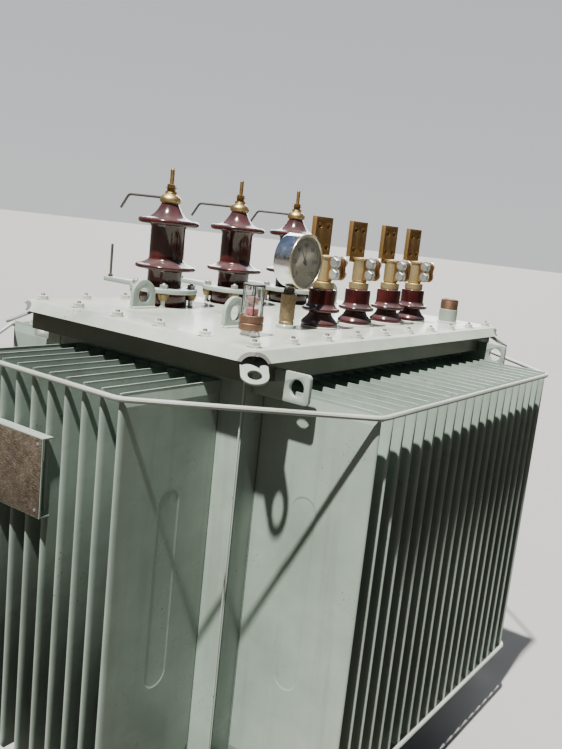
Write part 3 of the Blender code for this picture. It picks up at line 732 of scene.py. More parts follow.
@dataclass(frozen=True)
class Enamel:
    """Grey-green transformer enamel with dust, run marks, chips and orange peel."""

    name: str
    colour: Colour
    dust: float = 0.35
    stain: float = 0.25
    gloss: float = 0.35
    rust: float = 0.0
    chip: float = 0.66

    def material(self) -> bpy.types.Material:
        """Build the finish.

        Returns:
            The material.
        """
        mix = Recipe(self.name)
        pale = tuple(min(1.0, c * 1.22 + 0.02) for c in self.colour)
        deep = tuple(c * 0.78 for c in self.colour)
        cloud = mix.span(mix.noise(3.2, 6.0, 0.6), 0.32, 0.68)
        base = mix.mix(cloud, deep, pale)
        base = mix.mix(mix.span(mix.noise(46.0, 5.0, 0.7), 0.45, 0.75, 0.0, 0.35), base, self.colour)
        runs = mix.noise(1.0, 5.0, 0.65, mix.stretch((26.0, 26.0, 1.3)))
        runs = mix.span(runs, 0.52, 0.78, 0.0, self.stain)
        base = mix.mix(runs, base, RUN_STAIN)
        dust = mix.sums("MULTIPLY", mix.facing_up(), mix.span(mix.noise(11.0, 8.0, 0.7), 0.34, 0.7))
        dust = mix.sums("MULTIPLY", dust, self.dust)
        base = mix.mix(dust, base, ROAD_DUST)
        patches = mix.span(mix.noise(9.0, 4.0, 0.6), 0.5, 0.62)
        chips = mix.sums("MULTIPLY", mix.noise(240.0, 2.0, 0.5), patches)
        chips = mix.span(chips, self.chip, self.chip + 0.03, 0.0, 0.75)
        base = mix.mix(chips, base, BARE_STEEL)
        if self.rust:
            spots = mix.span(mix.noise(70.0, 8.0, 0.75), 0.64, 0.70, 0.0, self.rust)
            base = mix.mix(spots, base, RUST)
        rough = mix.span(mix.noise(17.0, 6.0, 0.65), 0.3, 0.7, self.gloss - 0.06, self.gloss + 0.12)
        rough = mix.sums("ADD", rough, mix.sums("MULTIPLY", dust, 0.6))
        mix.bump(mix.noise(190.0, 2.0, 0.5), 0.00012, 0.55)
        mix.bump(mix.noise(14.0, 3.0, 0.5), 0.0012, 0.4)
        mix.bump(chips, -0.00015, 0.8)
        return mix.done(base, rough, Coat_Weight=0.3, Coat_Roughness=0.14)


@dataclass(frozen=True)
class Glaze:
    """Glossy brown porcelain glaze, nearly black where it is thick, with dust on its sheds."""

    name: str
    colour: Colour = (0.072, 0.014, 0.013)
    thick: Colour = (0.018, 0.005, 0.005)

    def material(self) -> bpy.types.Material:
        """Build the finish.

        Returns:
            The material.
        """
        mix = Recipe(self.name)
        flow = mix.noise(1.0, 4.0, 0.55, mix.stretch((22.0, 22.0, 9.0)))
        base = mix.mix(mix.span(flow, 0.35, 0.7), self.thick, self.colour)
        fleck = mix.span(mix.noise(900.0, 2.0, 0.5), 0.62, 0.72, 0.0, 0.3)
        base = mix.mix(fleck, base, (0.02, 0.008, 0.006))
        film = mix.span(mix.noise(60.0, 8.0, 0.7), 0.38, 0.7, 0.13, 0.25)
        dust = mix.sums("MULTIPLY", mix.facing_up(), film)
        base = mix.mix(dust, base, (0.36, 0.29, 0.30))
        rough = mix.span(mix.noise(40.0, 6.0, 0.6), 0.35, 0.7, 0.05, 0.14)
        rough = mix.sums("ADD", rough, mix.sums("MULTIPLY", dust, 0.9))
        mix.bump(mix.noise(120.0, 2.0, 0.5), 0.0001, 0.4)
        mix.bump(mix.noise(18.0, 2.0, 0.5), 0.0006, 0.35)
        return mix.done(base, rough, Coat_Weight=0.2, Coat_Roughness=0.04, IOR=1.5)


@dataclass(frozen=True)
class Metal:
    """Bare or plated metal with tarnish, fine scratches and tool marks."""

    name: str
    colour: Colour
    tarnish: Colour
    share: float = 0.5
    shine: float = 0.3
    grain: Point = (60.0, 60.0, 900.0)
    marks: float = 0.4
    metallic: float = 1.0

    def material(self) -> bpy.types.Material:
        """Build the finish.

        Returns:
            The material.
        """
        mix = Recipe(self.name)
        cloud = mix.noise(28.0, 7.0, 0.68)
        spots = mix.noise(210.0, 5.0, 0.6)
        worn = mix.sums("ADD", mix.sums("MULTIPLY", cloud, 0.7), mix.sums("MULTIPLY", spots, 0.3))
        share = mix.span(worn, 0.40, 0.62, 0.0, self.share)
        base = mix.mix(share, self.colour, self.tarnish)
        lines = mix.noise(1.0, 4.0, 0.6, mix.stretch(self.grain))
        base = mix.mix(mix.span(lines, 0.4, 0.75, 0.0, 0.25), base, self.tarnish)
        rough = mix.span(worn, 0.35, 0.65, self.shine, min(1.0, self.shine + 0.28))
        mix.bump(lines, 0.00006, self.marks)
        mix.bump(spots, 0.0001, 0.25)
        return mix.done(base, rough, Metallic=self.metallic)


@dataclass(frozen=True)
class Spangle:
    """Zinc plating: pale crystals, dull with weather."""

    name: str
    colour: Colour = (0.56, 0.58, 0.57)

    def material(self) -> bpy.types.Material:
        """Build the finish.

        Returns:
            The material.
        """
        mix = Recipe(self.name)
        grain = mix.cells(420.0)
        dull, bright = (tuple(min(1.0, c * share) for c in self.colour) for share in (0.8, 1.15))
        base = mix.mix(grain, dull, bright)
        base = mix.mix(mix.span(mix.noise(90.0, 6.0, 0.65), 0.5, 0.7, 0.0, 0.5), base, (0.30, 0.29, 0.26))
        rough = mix.span(grain, 0.0, 1.0, 0.32, 0.5)
        mix.bump(mix.noise(500.0, 3.0, 0.6), 0.00005, 0.5)
        return mix.done(base, rough, Metallic=0.85)


@dataclass(frozen=True)
class Moulded:
    """Rubber, plastic or printed paint: a plain colour broken up by grime."""

    name: str
    colour: Colour
    grime: Colour = (0.20, 0.17, 0.13)
    share: float = 0.35
    gloss: float = 0.5
    grow: float = 55.0

    def material(self) -> bpy.types.Material:
        """Build the finish.

        Returns:
            The material.
        """
        mix = Recipe(self.name)
        cloud = mix.noise(self.grow, 7.0, 0.7)
        base = mix.mix(mix.span(cloud, 0.42, 0.72, 0.0, self.share), self.colour, self.grime)
        fine = mix.noise(self.grow * 9.0, 3.0, 0.6)
        base = mix.mix(mix.span(fine, 0.5, 0.8, 0.0, 0.2), base, tuple(c * 0.7 for c in self.colour))
        rough = mix.span(cloud, 0.3, 0.7, self.gloss - 0.1, self.gloss + 0.15)
        mix.bump(fine, 0.00006, 0.5)
        return mix.done(base, rough)


@dataclass(frozen=True)
class Etched:
    """Dark etched plate: a weathered brown film with ruled lines, and nothing written on it."""

    name: str
    origin: Point
    rows: float = 0.0046
    columns: float = 0.041

    def material(self) -> bpy.types.Material:
        """Build the finish.

        Returns:
            The material.
        """
        mix = Recipe(self.name)
        rules = self.ruled_lines(mix)
        cloud = mix.span(mix.noise(26.0, 8.0, 0.72), 0.36, 0.68)
        base = mix.mix(cloud, (0.062, 0.047, 0.034), (0.17, 0.135, 0.10))
        speck = mix.noise(1.0, 5.0, 0.72, mix.stretch((900.0, 150.0, 760.0)))
        base = mix.mix(mix.span(speck, 0.50, 0.66, 0.0, 0.72), base, (0.38, 0.34, 0.27))
        base = mix.mix(mix.sums("MULTIPLY", rules, 0.10), base, (0.45, 0.40, 0.33))
        rough = mix.span(mix.noise(60.0, 6.0, 0.6), 0.3, 0.7, 0.34, 0.6)
        mix.bump(speck, 0.00008, 0.5)
        mix.bump(rules, 0.00008, 0.6)
        return mix.done(base, rough, Metallic=0.55)

    def ruled_lines(self, mix: Recipe) -> Socket:
        """Ruled lines of the plate's empty table: 1 on a line, 0 between.

        Args:
            mix: The recipe of the finish.

        Returns:
            The lines.
        """
        origin = tuple(-c for c in self.origin)
        shifted = mix.put("ShaderNodeMapping", {"Vector": mix.place, "Location": origin})
        lines = []
        for axis, step, width in (("Z", self.rows, 0.06), ("Y", self.columns, 0.02)):
            value = mix.put("ShaderNodeSeparateXYZ", {"Vector": shifted}, axis)
            phase = mix.sums("PINGPONG", mix.sums("DIVIDE", value, step), 0.5)
            lines.append(mix.span(phase, width, width * 0.5))
        return mix.sums("MAXIMUM", *lines)


@dataclass(frozen=True)
class Pane:
    """Clear gauge glass with a faint film of dust."""

    name: str

    def material(self) -> bpy.types.Material:
        """Build the finish.

        Returns:
            The material.
        """
        mix = Recipe(self.name)
        film = mix.span(mix.noise(70.0, 7.0, 0.7), 0.45, 0.75, 0.0, 0.2)
        base = mix.mix(film, (0.97, 0.98, 0.975), (0.75, 0.72, 0.66))
        rough = mix.span(mix.noise(45.0, 5.0, 0.6), 0.3, 0.7, 0.02, 0.09)
        return mix.done(base, rough, Transmission_Weight=0.94, IOR=1.3)


class Finishes:
    """Every finish of the transformer, built once."""

    def __init__(self) -> None:
        """Build the materials."""
        made = [
            Enamel("tank_enamel", (0.272, 0.345, 0.298), dust=0.30, stain=0.30, gloss=0.30),
            Enamel("cover_enamel", (0.345, 0.40, 0.345), dust=0.62, stain=0.10, rust=0.5, chip=0.60),
            # Rim: the dark base colour is painted shade, standing for the shadow under the cover's lip; its
            # run stains and rust are real dirt.
            Enamel("rim_painted_shade_enamel", (0.105, 0.112, 0.078), dust=0.2, stain=0.7, gloss=0.4, rust=0.5),
            # Notch edges: the dark base colour is painted shade, standing for the shade inside the corner
            # notches.
            Enamel("notch_edge_painted_shade_enamel", (0.105, 0.108, 0.098), dust=0.1, stain=0.5, gloss=0.45, rust=0.4),
            Enamel("fitting_enamel", (0.30, 0.36, 0.32), dust=0.30, stain=0.15),
            Enamel("rod_enamel", (0.36, 0.40, 0.36), dust=0.25, stain=0.2, rust=0.3),
            Enamel("base_enamel", (0.24, 0.28, 0.25), dust=0.35, stain=0.55, rust=0.6),
            Enamel("weld_enamel", (0.42, 0.47, 0.42), dust=0.3, stain=0.1, gloss=0.3),
            Enamel("bolt_enamel", (0.52, 0.54, 0.49), dust=0.4, stain=0.3, gloss=0.4, rust=0.8),
            Glaze("bushing_glaze"),
            Metal("cap_brass", (0.68, 0.52, 0.25), (0.36, 0.24, 0.10), share=0.4, shine=0.27),
            Metal("stud_brass", (0.40, 0.26, 0.105), (0.17, 0.095, 0.04), share=0.7, shine=0.34),
            Metal("collar_brass", (0.34, 0.25, 0.13), (0.17, 0.11, 0.06), share=0.7, shine=0.4),
            Metal("clamp_brass", (0.60, 0.48, 0.26), (0.33, 0.23, 0.11), share=0.6, shine=0.4),
            Metal("flag_brass", (0.34, 0.20, 0.07), (0.19, 0.11, 0.045), 0.65, shine=0.42, metallic=0.85),
            Metal("ear_brass", (0.44, 0.24, 0.09), (0.24, 0.12, 0.05), share=0.6, shine=0.3),
            Metal("union_copper", (0.34, 0.20, 0.135), (0.14, 0.085, 0.06), share=0.65, shine=0.4),
            Metal("horn_steel", (0.17, 0.16, 0.15), (0.09, 0.08, 0.07), share=0.6, shine=0.45, metallic=0.8),
            Metal("drum_chrome", (0.86, 0.87, 0.89), (0.62, 0.63, 0.64), share=0.12, shine=0.06, marks=0.1),
            Metal("bezel_gilt", (0.83, 0.74, 0.52), (0.55, 0.42, 0.24), share=0.3, shine=0.16, marks=0.15),
            Metal("stem_bronze", (0.42, 0.32, 0.19), (0.16, 0.11, 0.07), share=0.7, shine=0.36),
            Metal("dark_steel", (0.10, 0.095, 0.09), (0.05, 0.045, 0.04), 0.5, shine=0.42, metallic=0.8),
            Spangle("zinc_plating"),
            Moulded("gasket_rubber", (0.72, 0.72, 0.68), share=0.3, gloss=0.6),
            Moulded("float_red", (0.72, 0.05, 0.045), share=0.12, gloss=0.3),
            Moulded("float_pink", (0.78, 0.30, 0.27), share=0.12, gloss=0.3),
            Moulded("dial_cream", (0.66, 0.60, 0.46), (0.48, 0.36, 0.20), share=0.45, gloss=0.45, grow=24.0),
            Moulded("dial_ink", (0.035, 0.03, 0.03), (0.08, 0.06, 0.05), share=0.3, gloss=0.5),
            Moulded("pointer_red", (0.40, 0.03, 0.03), share=0.2, gloss=0.4),
            Etched("etched_plate", tuple(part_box("rating_plate")[0])),
            Pane("clear_glass"),
        ]
        self.by_name = {finish.name: finish.material() for finish in made}

    def give(self, obj: Piece, finish: str) -> Piece:
        """Put a finish on a piece.

        Args:
            obj: The piece.
            finish: Name of the finish.

        Returns:
            The piece.
        """
        obj.data.materials.clear()
        obj.data.materials.append(self.by_name[finish])
        return obj


@dataclass
class Assembly:
    """A sub-assembly: builds its pieces, dresses them and ties them to the frame."""

    finishes: Finishes
    body: str = "root"
    made: list[str] = field(default_factory=list)

    def keep(self, obj: Piece, finish: str, slot: str, *nodes: str) -> Piece:
        """Finish a new piece.

        Args:
            obj: The piece.
            finish: Name of its finish.
            slot: The record's material slot; not used.
            nodes: CAD nodes that it stands for.

        Returns:
            The piece.
        """
        self.finishes.give(obj, finish)
        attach(obj, self.body)
        if nodes:
            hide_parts(*nodes)
        self.made.append(obj.name)
        return obj

    def dress(self, node: str, finish: str) -> None:
        """Put a finish on a CAD node that stays."""
        self.finishes.give(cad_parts[node], finish)
        self.made.append(node)

    def build(self) -> None:
        """Build and dress the pieces."""
        raise NotImplementedError

    def report(self) -> None:
        """Say which pieces were made."""
        LOG.info("%s: %s", type(self).__name__, ", ".join(self.made))


@dataclass
class Tank(Assembly):
    """Tank box, rim angle, base frame and the welds along the corners."""

    weld: float = 0.0021

    def build(self) -> None:
        """Dress the tank's solids and add the corner welds."""
        self.dress("tank_body", "tank_enamel")
        # The rim's finish carries painted shade in its dark base colour.
        self.dress("tank_rim", "rim_painted_shade_enamel")
        self.dress("base_frame", "base_enamel")
        low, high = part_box("tank_body")
        front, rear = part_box("front_fin_wall"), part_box("rear_fin_wall")
        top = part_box("tank_rim")[0].z - GAP
        seams = []
        for x in (low.x + self.weld, high.x - self.weld):
            for y in (rear[0].y, front[1].y):
                ends = Vector((x, y, front[0].z)), Vector((x, y, top))
                seams.append(Bench.bead("corner_weld", *ends, self.weld))
        self.keep(Bench.join("tank_corner_welds", seams), "weld_enamel", "tank_paint")


@dataclass
class FinWall(Assembly):
    """One corrugated wall: pressed fins with pinched ends and rounded edges, on their sheet."""

    node: str = ""
    outward: Toward = Toward.FRONT
    count: int = 20
    pitch: float = 0.045
    thick: float = 0.010
    sheet: float = 0.003
    pinch: float = 0.024
    pinched: float = 0.0034
    round_steps: int = 6
    nose_stretch: float = 2.3
    dimple: float = 0.027
    dimple_depth: float = 0.0008
    dimple_reach: float = 0.47
    dimple_levels: tuple[float, float] = (0.29, 0.722)

    def fin(self, start: Vector, low: Vector, high: Vector) -> Piece:
        """Model one fin from a block.

        Args:
            start: Middle of the fin's root, at its foot.
            low: Lowest corner of the wall.
            high: Highest corner of the wall.

        Returns:
            The fin.
        """
        out = Vector(self.outward.value)
        along = Vector((abs(out.y), abs(out.x), 0.0))
        reach = abs(out.dot(high - low))
        near = start - along * self.thick / 2
        far = start + along * self.thick / 2 + out * reach + Vector((0, 0, high.z - low.z))
        lows = [min(a, b) for a, b in zip(near, far)]
        highs = [max(a, b) for a, b in zip(near, far)]
        fin = Bench.block(f"{self.node}_fin", lows, highs)
        edge = start.dot(out) + reach
        Bench.edit(fin)
        upright = lambda part: abs((part.verts[0].co - part.verts[1].co).z) > 0.1
        at_edge = lambda part: all(abs(vertex.co.dot(out) - edge) < NEAR for vertex in part.verts)
        Bench.select(fin, "edges", lambda part: upright(part) and at_edge(part))
        bpy.ops.mesh.bevel(offset=self.thick * 0.49, segments=self.round_steps, profile=0.5, affect="EDGES")
        Bench.select(fin, "verts", lambda part: part.co.dot(out) > edge - self.thick * 0.5)
        scale = tuple(self.nose_stretch if abs(axis) > 0.5 else 1.0 for axis in out)
        bpy.ops.transform.resize(value=scale, center_override=tuple(out * edge))
        for level, inward in ((low.z, 1), (high.z, -1)):
            for step in (self.pinch, self.pinch * 0.22):
                cut = Vector((0, 0, level + inward * step))
                Bench.bisect(cut, Vector((0, 0, 1)), keep_both=True)
            self.squeeze(fin, level, inward, along, start)
        bpy.ops.object.mode_set(mode="OBJECT")
        return Bench.settle(fin, fin.name, 32)

    def squeeze(self, fin: Piece, level: float, inward: int, along: Vector, start: Vector) -> None:
        """Pinch one end of a fin down to its welded seam.

        Args:
            fin: The fin, in edit mode.
            level: Height of the end.
            inward: 1 at the foot, -1 at the top.
            along: Direction across the fin.
            start: A point in the fin's middle plane.
        """
        limit, share = self.pinch * 0.23, self.pinched / self.thick
        Bench.select(fin, "verts", lambda vertex: (vertex.co.z - level) * inward < limit)
        scale = tuple(share if abs(axis) > 0.5 else 1.0 for axis in along)
        bpy.ops.transform.resize(value=scale, center_override=tuple(start))

    def press(self, fin: Piece, foot: Vector, way: Vector, tall: float) -> None:
        """Press the long round-ended pad into an end fin's outer face.

        Args:
            fin: The end fin.
            foot: Point on the face at the height of the wall's foot.
            way: Direction that the face looks.
            tall: Height of the wall.
        """
        wide, deep = self.dimple, self.dimple_depth
        section = ((0.84, -1.0), (0.88, -0.96), (0.93, -0.72), (1.0, -0.2), (1.06, 0.6))
        dish = [(wide * out, deep * up) for out, up in section]
        low, high = (tall * share for share in self.dimple_levels)
        spot = foot + Vector((0, 0, low))
        pad = Bench.turned("pad", spot, dish, FINE, way)
        Bench.edit(pad)
        Bench.select(pad, "verts", lambda vertex: vertex.co.z > spot.z + NEAR)
        bpy.ops.transform.translate(value=(0, 0, high - low))
        bpy.ops.object.mode_set(mode="OBJECT")
        Bench.drill(fin, pad)
        Bench.pick(fin)
        bpy.ops.object.shade_smooth_by_angle(angle=math.radians(9))

    def build(self) -> None:
        """Model one fin, repeat it along the sheet and press a pad into both end fins."""
        low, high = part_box(self.node)
        out = Vector(self.outward.value)
        along = Vector((abs(out.y), abs(out.x), 0.0))
        reach = abs(out.dot(high - low))
        root = max(low.dot(out), high.dot(out)) - reach
        first = low.dot(along) + self.thick / 2
        start = along * first + out * root + Vector((0, 0, low.z))
        fin = self.fin(start, low, high)
        fins = Bench.copies(fin, self.node, [along * self.pitch * i for i in range(self.count)])
        last = self.pitch * (self.count - 1)
        for fin, way, step in ((fins[0], -along, 0), (fins[-1], along, last)):
            side = start + along * step + way * self.thick / 2
            self.press(fin, side + out * reach * self.dimple_reach, way, high.z - low.z)
        near = along * low.dot(along) + out * root + Vector((0, 0, low.z))
        far = along * high.dot(along) + out * (root + self.sheet) + Vector((0, 0, high.z))
        corners = [[pick(a, b) for a, b in zip(near, far)] for pick in (min, max)]
        sheet = Bench.soften(Bench.block("sheet", *corners), 0.0008)
        name = self.node.replace("_wall", "s")
        self.keep(Bench.join(name, [*fins, sheet]), "tank_enamel", "tank_paint", self.node)


@dataclass
class TieRods(Assembly):
    """Round rods round the fins, bent at the corners and tacked to each fin."""

    radius: float = 0.005
    bend: float = 0.016
    tack: float = 0.0042
    pitch: float = 0.045
    long_count: int = 20
    short_count: int = 10

    def corners(self, node: str) -> list[Vector]:
        """The rod's corners, from the CAD rod's and the fin walls' boxes.

        Args:
            node: The CAD rod.

        Returns:
            The eight corners.
        """
        low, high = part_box(node)
        front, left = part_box("front_fin_wall"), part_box("left_fin_wall")
        level = (low.z + high.z) / 2
        radius = self.radius
        plan = [
            (front[0].x, low.y + radius),
            (front[1].x, low.y + radius),
            (high.x - radius, left[0].y),
            (high.x - radius, left[1].y),
            (front[1].x, high.y - radius),
            (front[0].x, high.y - radius),
            (low.x + radius, left[1].y),
            (low.x + radius, left[0].y),
        ]
        return [Vector((x, y, level)) for x, y in plan]

    def build(self) -> None:
        """Bend the two rods and set a tack weld at every fin."""
        front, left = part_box("front_fin_wall"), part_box("left_fin_wall")
        for node in ("top_tie_rod", "bottom_tie_rod"):
            points = self.corners(node)
            rod = Bench.rod(f"{node}_bent", points, self.radius, self.bend, closed=True)
            self.keep(rod, "rod_enamel", "rod_paint", node)
            inset = self.radius * 0.8
            level = points[0].z - self.radius * 0.55
            first = Vector((front[0].x + self.radius, points[0].y + inset, level))
            section = ((0.4, -1.0), (1.0, -0.4), (1.0, 0.0), (0.4, 0.9))
            shape = [(self.tack * out, self.tack * up) for out, up in section]
            bead = Bench.turned("tack", first, shape, WELD_SIDES, angle=80)
            rear = points[4].y - inset - first.y
            shifts = [(self.pitch * i, y, 0.0) for i in range(self.long_count) for y in (0.0, rear)]
            side_y = left[0].y + self.radius - first.y
            for i in range(self.short_count):
                for x in (points[7].x + inset, points[2].x - inset):
                    shifts.append((x - first.x, side_y + self.pitch * i, 0.0))
            self.keep(Bench.repeat(f"{node}_tacks", bead, shifts), "weld_enamel", "rod_paint")


@dataclass
class Cover(Assembly):
    """The bolted cover plate with its bolts and the nuts under the rim."""

    from_edge: float = 0.039
    long_count: int = 10
    short_count: int = 6
    head: float = 0.019
    head_height: float = 0.0072
    notch_radius: float = 0.034
    notch_rise: float = 0.0185
    notch_edge: float = 0.006
    notch_length: float = 0.058
    lip_run: float = 0.022
    lip_drop: float = 0.024
    stud: float = 0.005
    bolt_end: float = 0.0055
    nut_end: float = 0.009
    rim_flange: float = 0.009

    def spots(self) -> list[Point]:
        """Where the bolts stand, evenly from corner to corner.

        Returns:
            Their places, at height 0.
        """
        low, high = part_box("tank_cover")
        xs = (low.x + self.from_edge, high.x - self.from_edge)
        ys = (low.y + self.from_edge, high.y - self.from_edge)
        places = []
        for i in range(self.long_count):
            x = xs[0] + (xs[1] - xs[0]) * i / (self.long_count - 1)
            places += [(x, ys[0], 0.0), (x, ys[1], 0.0)]
        for i in range(1, self.short_count - 1):
            y = ys[0] + (ys[1] - ys[0]) * i / (self.short_count - 1)
            places += [(xs[0], y, 0.0), (xs[1], y, 0.0)]
        return places

    def sleeve(self, side_x: int, side_y: int) -> Piece:
        """The thick arched edge of one corner notch, cut flush with both folds of the lip.

        Args:
            side_x: -1 for a left corner, 1 for a right one.
            side_y: -1 for a front corner, 1 for a rear one.

        Returns:
            The edge.
        """
        corner = corner_of("tank_cover", side_x, side_y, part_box("tank_cover")[0].z)
        out = Vector((side_x, side_y, 0)).normalized()
        outer, inner = self.notch_radius - GAP, self.notch_radius - self.notch_edge
        shape = [(outer - GAP, 0.0), (outer, GAP), (outer, self.notch_length)]
        shape += [(inner, self.notch_length), (inner, 0.0)]
        axis = corner + Vector((0, 0, self.notch_rise - self.notch_radius))
        edge = Bench.turned("edge", axis - out * self.notch_length, shape, FINE, out, bored=True)
        Bench.edit(edge)
        slope_x = Vector((side_x * self.lip_drop, 0, self.lip_run))
        slope_y = Vector((0, side_y * self.lip_drop, self.lip_run))
        for normal in (slope_x, slope_y, Vector((0, 0, -1))):
            Bench.bisect(corner, normal, keep_both=False)
        bpy.ops.object.mode_set(mode="OBJECT")
        return Bench.settle(edge, "edge", 30)

    def build(self) -> None:
        """Dress the plate and bolt it down."""
        self.dress("tank_cover", "cover_enamel")
        sleeves = [self.sleeve(x, y) for x in (-1, 1) for y in (-1, 1)]
        # The notch edges' finish is painted shade: a dark colour for the shade inside the notches.
        self.keep(Bench.join("cover_notch_edges", sleeves), "notch_edge_painted_shade_enamel", "tank_paint")
        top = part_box("tank_cover")[1].z
        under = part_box("tank_rim")[1].z - self.rim_flange
        washer, end_level = self.head_height * 0.16, self.head_height * 0.9
        head = Bench.hexagon("bolt", (0, 0, top + washer), self.head, self.head_height)
        self.keep(Bench.repeat("cover_bolts", head, self.spots()), "bolt_enamel", "tank_paint")
        end = Bench.stud("end", (0, 0, top + end_level), self.stud, self.bolt_end)
        self.keep(Bench.repeat("cover_bolt_ends", end, self.spots()), "horn_steel", "tank_paint")
        nut = Bench.hexagon("nut", (0, 0, under - washer), self.head, self.head_height, Toward.DOWN)
        end = Bench.stud("end", (0, 0, under - end_level), self.stud, self.nut_end, Toward.DOWN)
        nut = Bench.join("nut", [nut, end])
        self.keep(Bench.repeat("rim_nuts", nut, self.spots()), "tank_enamel", "tank_paint")


@dataclass
class LiftingGear(Assembly):
    """Lifting lugs on the cover, eye plates at the corners and lashing plates beside them."""

    lug_half: float = 0.033
    lug_hole: float = 0.016
    eye_half: float = 0.025
    eye_hole: float = 0.013
    eye_thick: float = 0.005
    eye_slope: float = 27.0
    eye_reach: float = 0.036
    eye_tail: float = 0.024
    eye_root: float = 0.012
    lashing_hole: float = 0.0165
    lashing_inset: float = 0.028
    lashing_round: float = 0.008
    bead: float = 0.0036
    edge: float = 0.0009
    margin: float = 0.01

    def lug(self, node: str) -> None:
        """Make a lug with a smooth hole and its weld beads.

        Args:
            node: The CAD lug.
        """
        low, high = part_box(node)
        centre = Vector(((low.x + high.x) / 2, (low.y + high.y) / 2, high.z - self.lug_half))
        thick = high.y - low.y
        depth = centre.z - low.z
        face, down = Vector((0, 1, 0)), Vector((0, 0, -1))
        lug = Bench.tongue(f"{node}_plate", centre, self.lug_half, thick, face, down, depth)
        Bench.bore(lug, (centre.x, low.y - thick, centre.z), self.lug_hole, thick * 3, Toward.REAR)
        self.keep(Bench.soften(lug, self.edge), "fitting_enamel", "tank_paint", node)
        level, off = low.z + self.bead * 0.25, self.bead * 0.2
        runs = [((low.x, y), (high.x, y)) for y in (low.y - off, high.y + off)]
        runs += [((x, low.y), (x, high.y)) for x in (low.x - off, high.x + off)]
        beads = [Bench.bead("bead", Vector((*a, level)), Vector((*b, level)), self.bead) for a, b in runs]
        self.keep(Bench.join(f"{node}_weld", beads), "weld_enamel", "tank_paint")

    def eye(self, node: str, side_x: int, side_y: int) -> None:
        """Make an eye plate, sloping down outward, with its hole square to the plate.

        Args:
            node: The CAD eye plate.
            side_x: -1 at the left end, 1 at the right one.
            side_y: -1 at the front, 1 at the rear.
        """
        out = Vector((side_x, side_y, 0)).normalized()
        slope = math.radians(self.eye_slope)
        down = out * math.cos(slope) - Vector((0, 0, 1)) * math.sin(slope)
        face = out * math.sin(slope) + Vector((0, 0, 1)) * math.cos(slope)
        corner = corner_of("tank_rim", side_x, side_y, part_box(node)[1].z)
        seat = corner + out * GAP
        lift = Vector((0, 0, -self.eye_tail * 0.35 * math.tan(slope)))
        thick, length = self.eye_thick, self.eye_reach + self.eye_root
        centre = seat + lift + down * self.eye_reach - face * thick / 2
        eye = Bench.tongue(f"{node}_plate", centre, self.eye_half, thick, face, -down, length)
        Bench.bore(eye, centre - face * thick * 3, self.eye_hole, thick * 6, face)
        self.keep(Bench.soften(eye, self.edge), "fitting_enamel", "tank_paint", node)

    def lashing(self, node: str, side_y: int) -> None:
        """Make a lashing plate: a drilled block with rounded outer corners, notched round the rim.

        Args:
            node: The CAD lashing plate.
            side_y: -1 at the front, 1 at the rear.
        """
        low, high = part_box(node)
        plate = Bench.block(f"{node}_flat", low, high)
        outer = high.y if side_y > 0 else low.y
        Bench.round_tip(plate, outer, self.lashing_round, 5)
        margin = self.margin
        start = (low.x - margin, outer - side_y * self.lashing_inset, (low.z + high.z) / 2)
        Bench.bore(plate, start, self.lashing_hole, high.x - low.x + 2 * margin, Toward.RIGHT)
        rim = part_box("tank_rim")
        near, far = (low.y - margin, rim[1].y + GAP) if side_y > 0 else (rim[0].y - GAP, high.y + margin)
        corners = (low.x - margin, near, rim[0].z - GAP), (high.x + margin, far, high.z + margin)
        Bench.drill(plate, Bench.block("notch", *corners))
        self.keep(Bench.soften(plate, self.edge), "fitting_enamel", "tank_paint", node)

    def build(self) -> None:
        """Make all twelve."""
        for side, side_y in (("front", -1), ("rear", 1)):
            for end, side_x in (("left", -1), ("right", 1)):
                self.lug(f"lifting_lug_{side}_{end}")
                self.eye(f"corner_eye_{side}_{end}", side_x, side_y)
                self.lashing(f"lashing_plate_{side}_{end}", side_y)


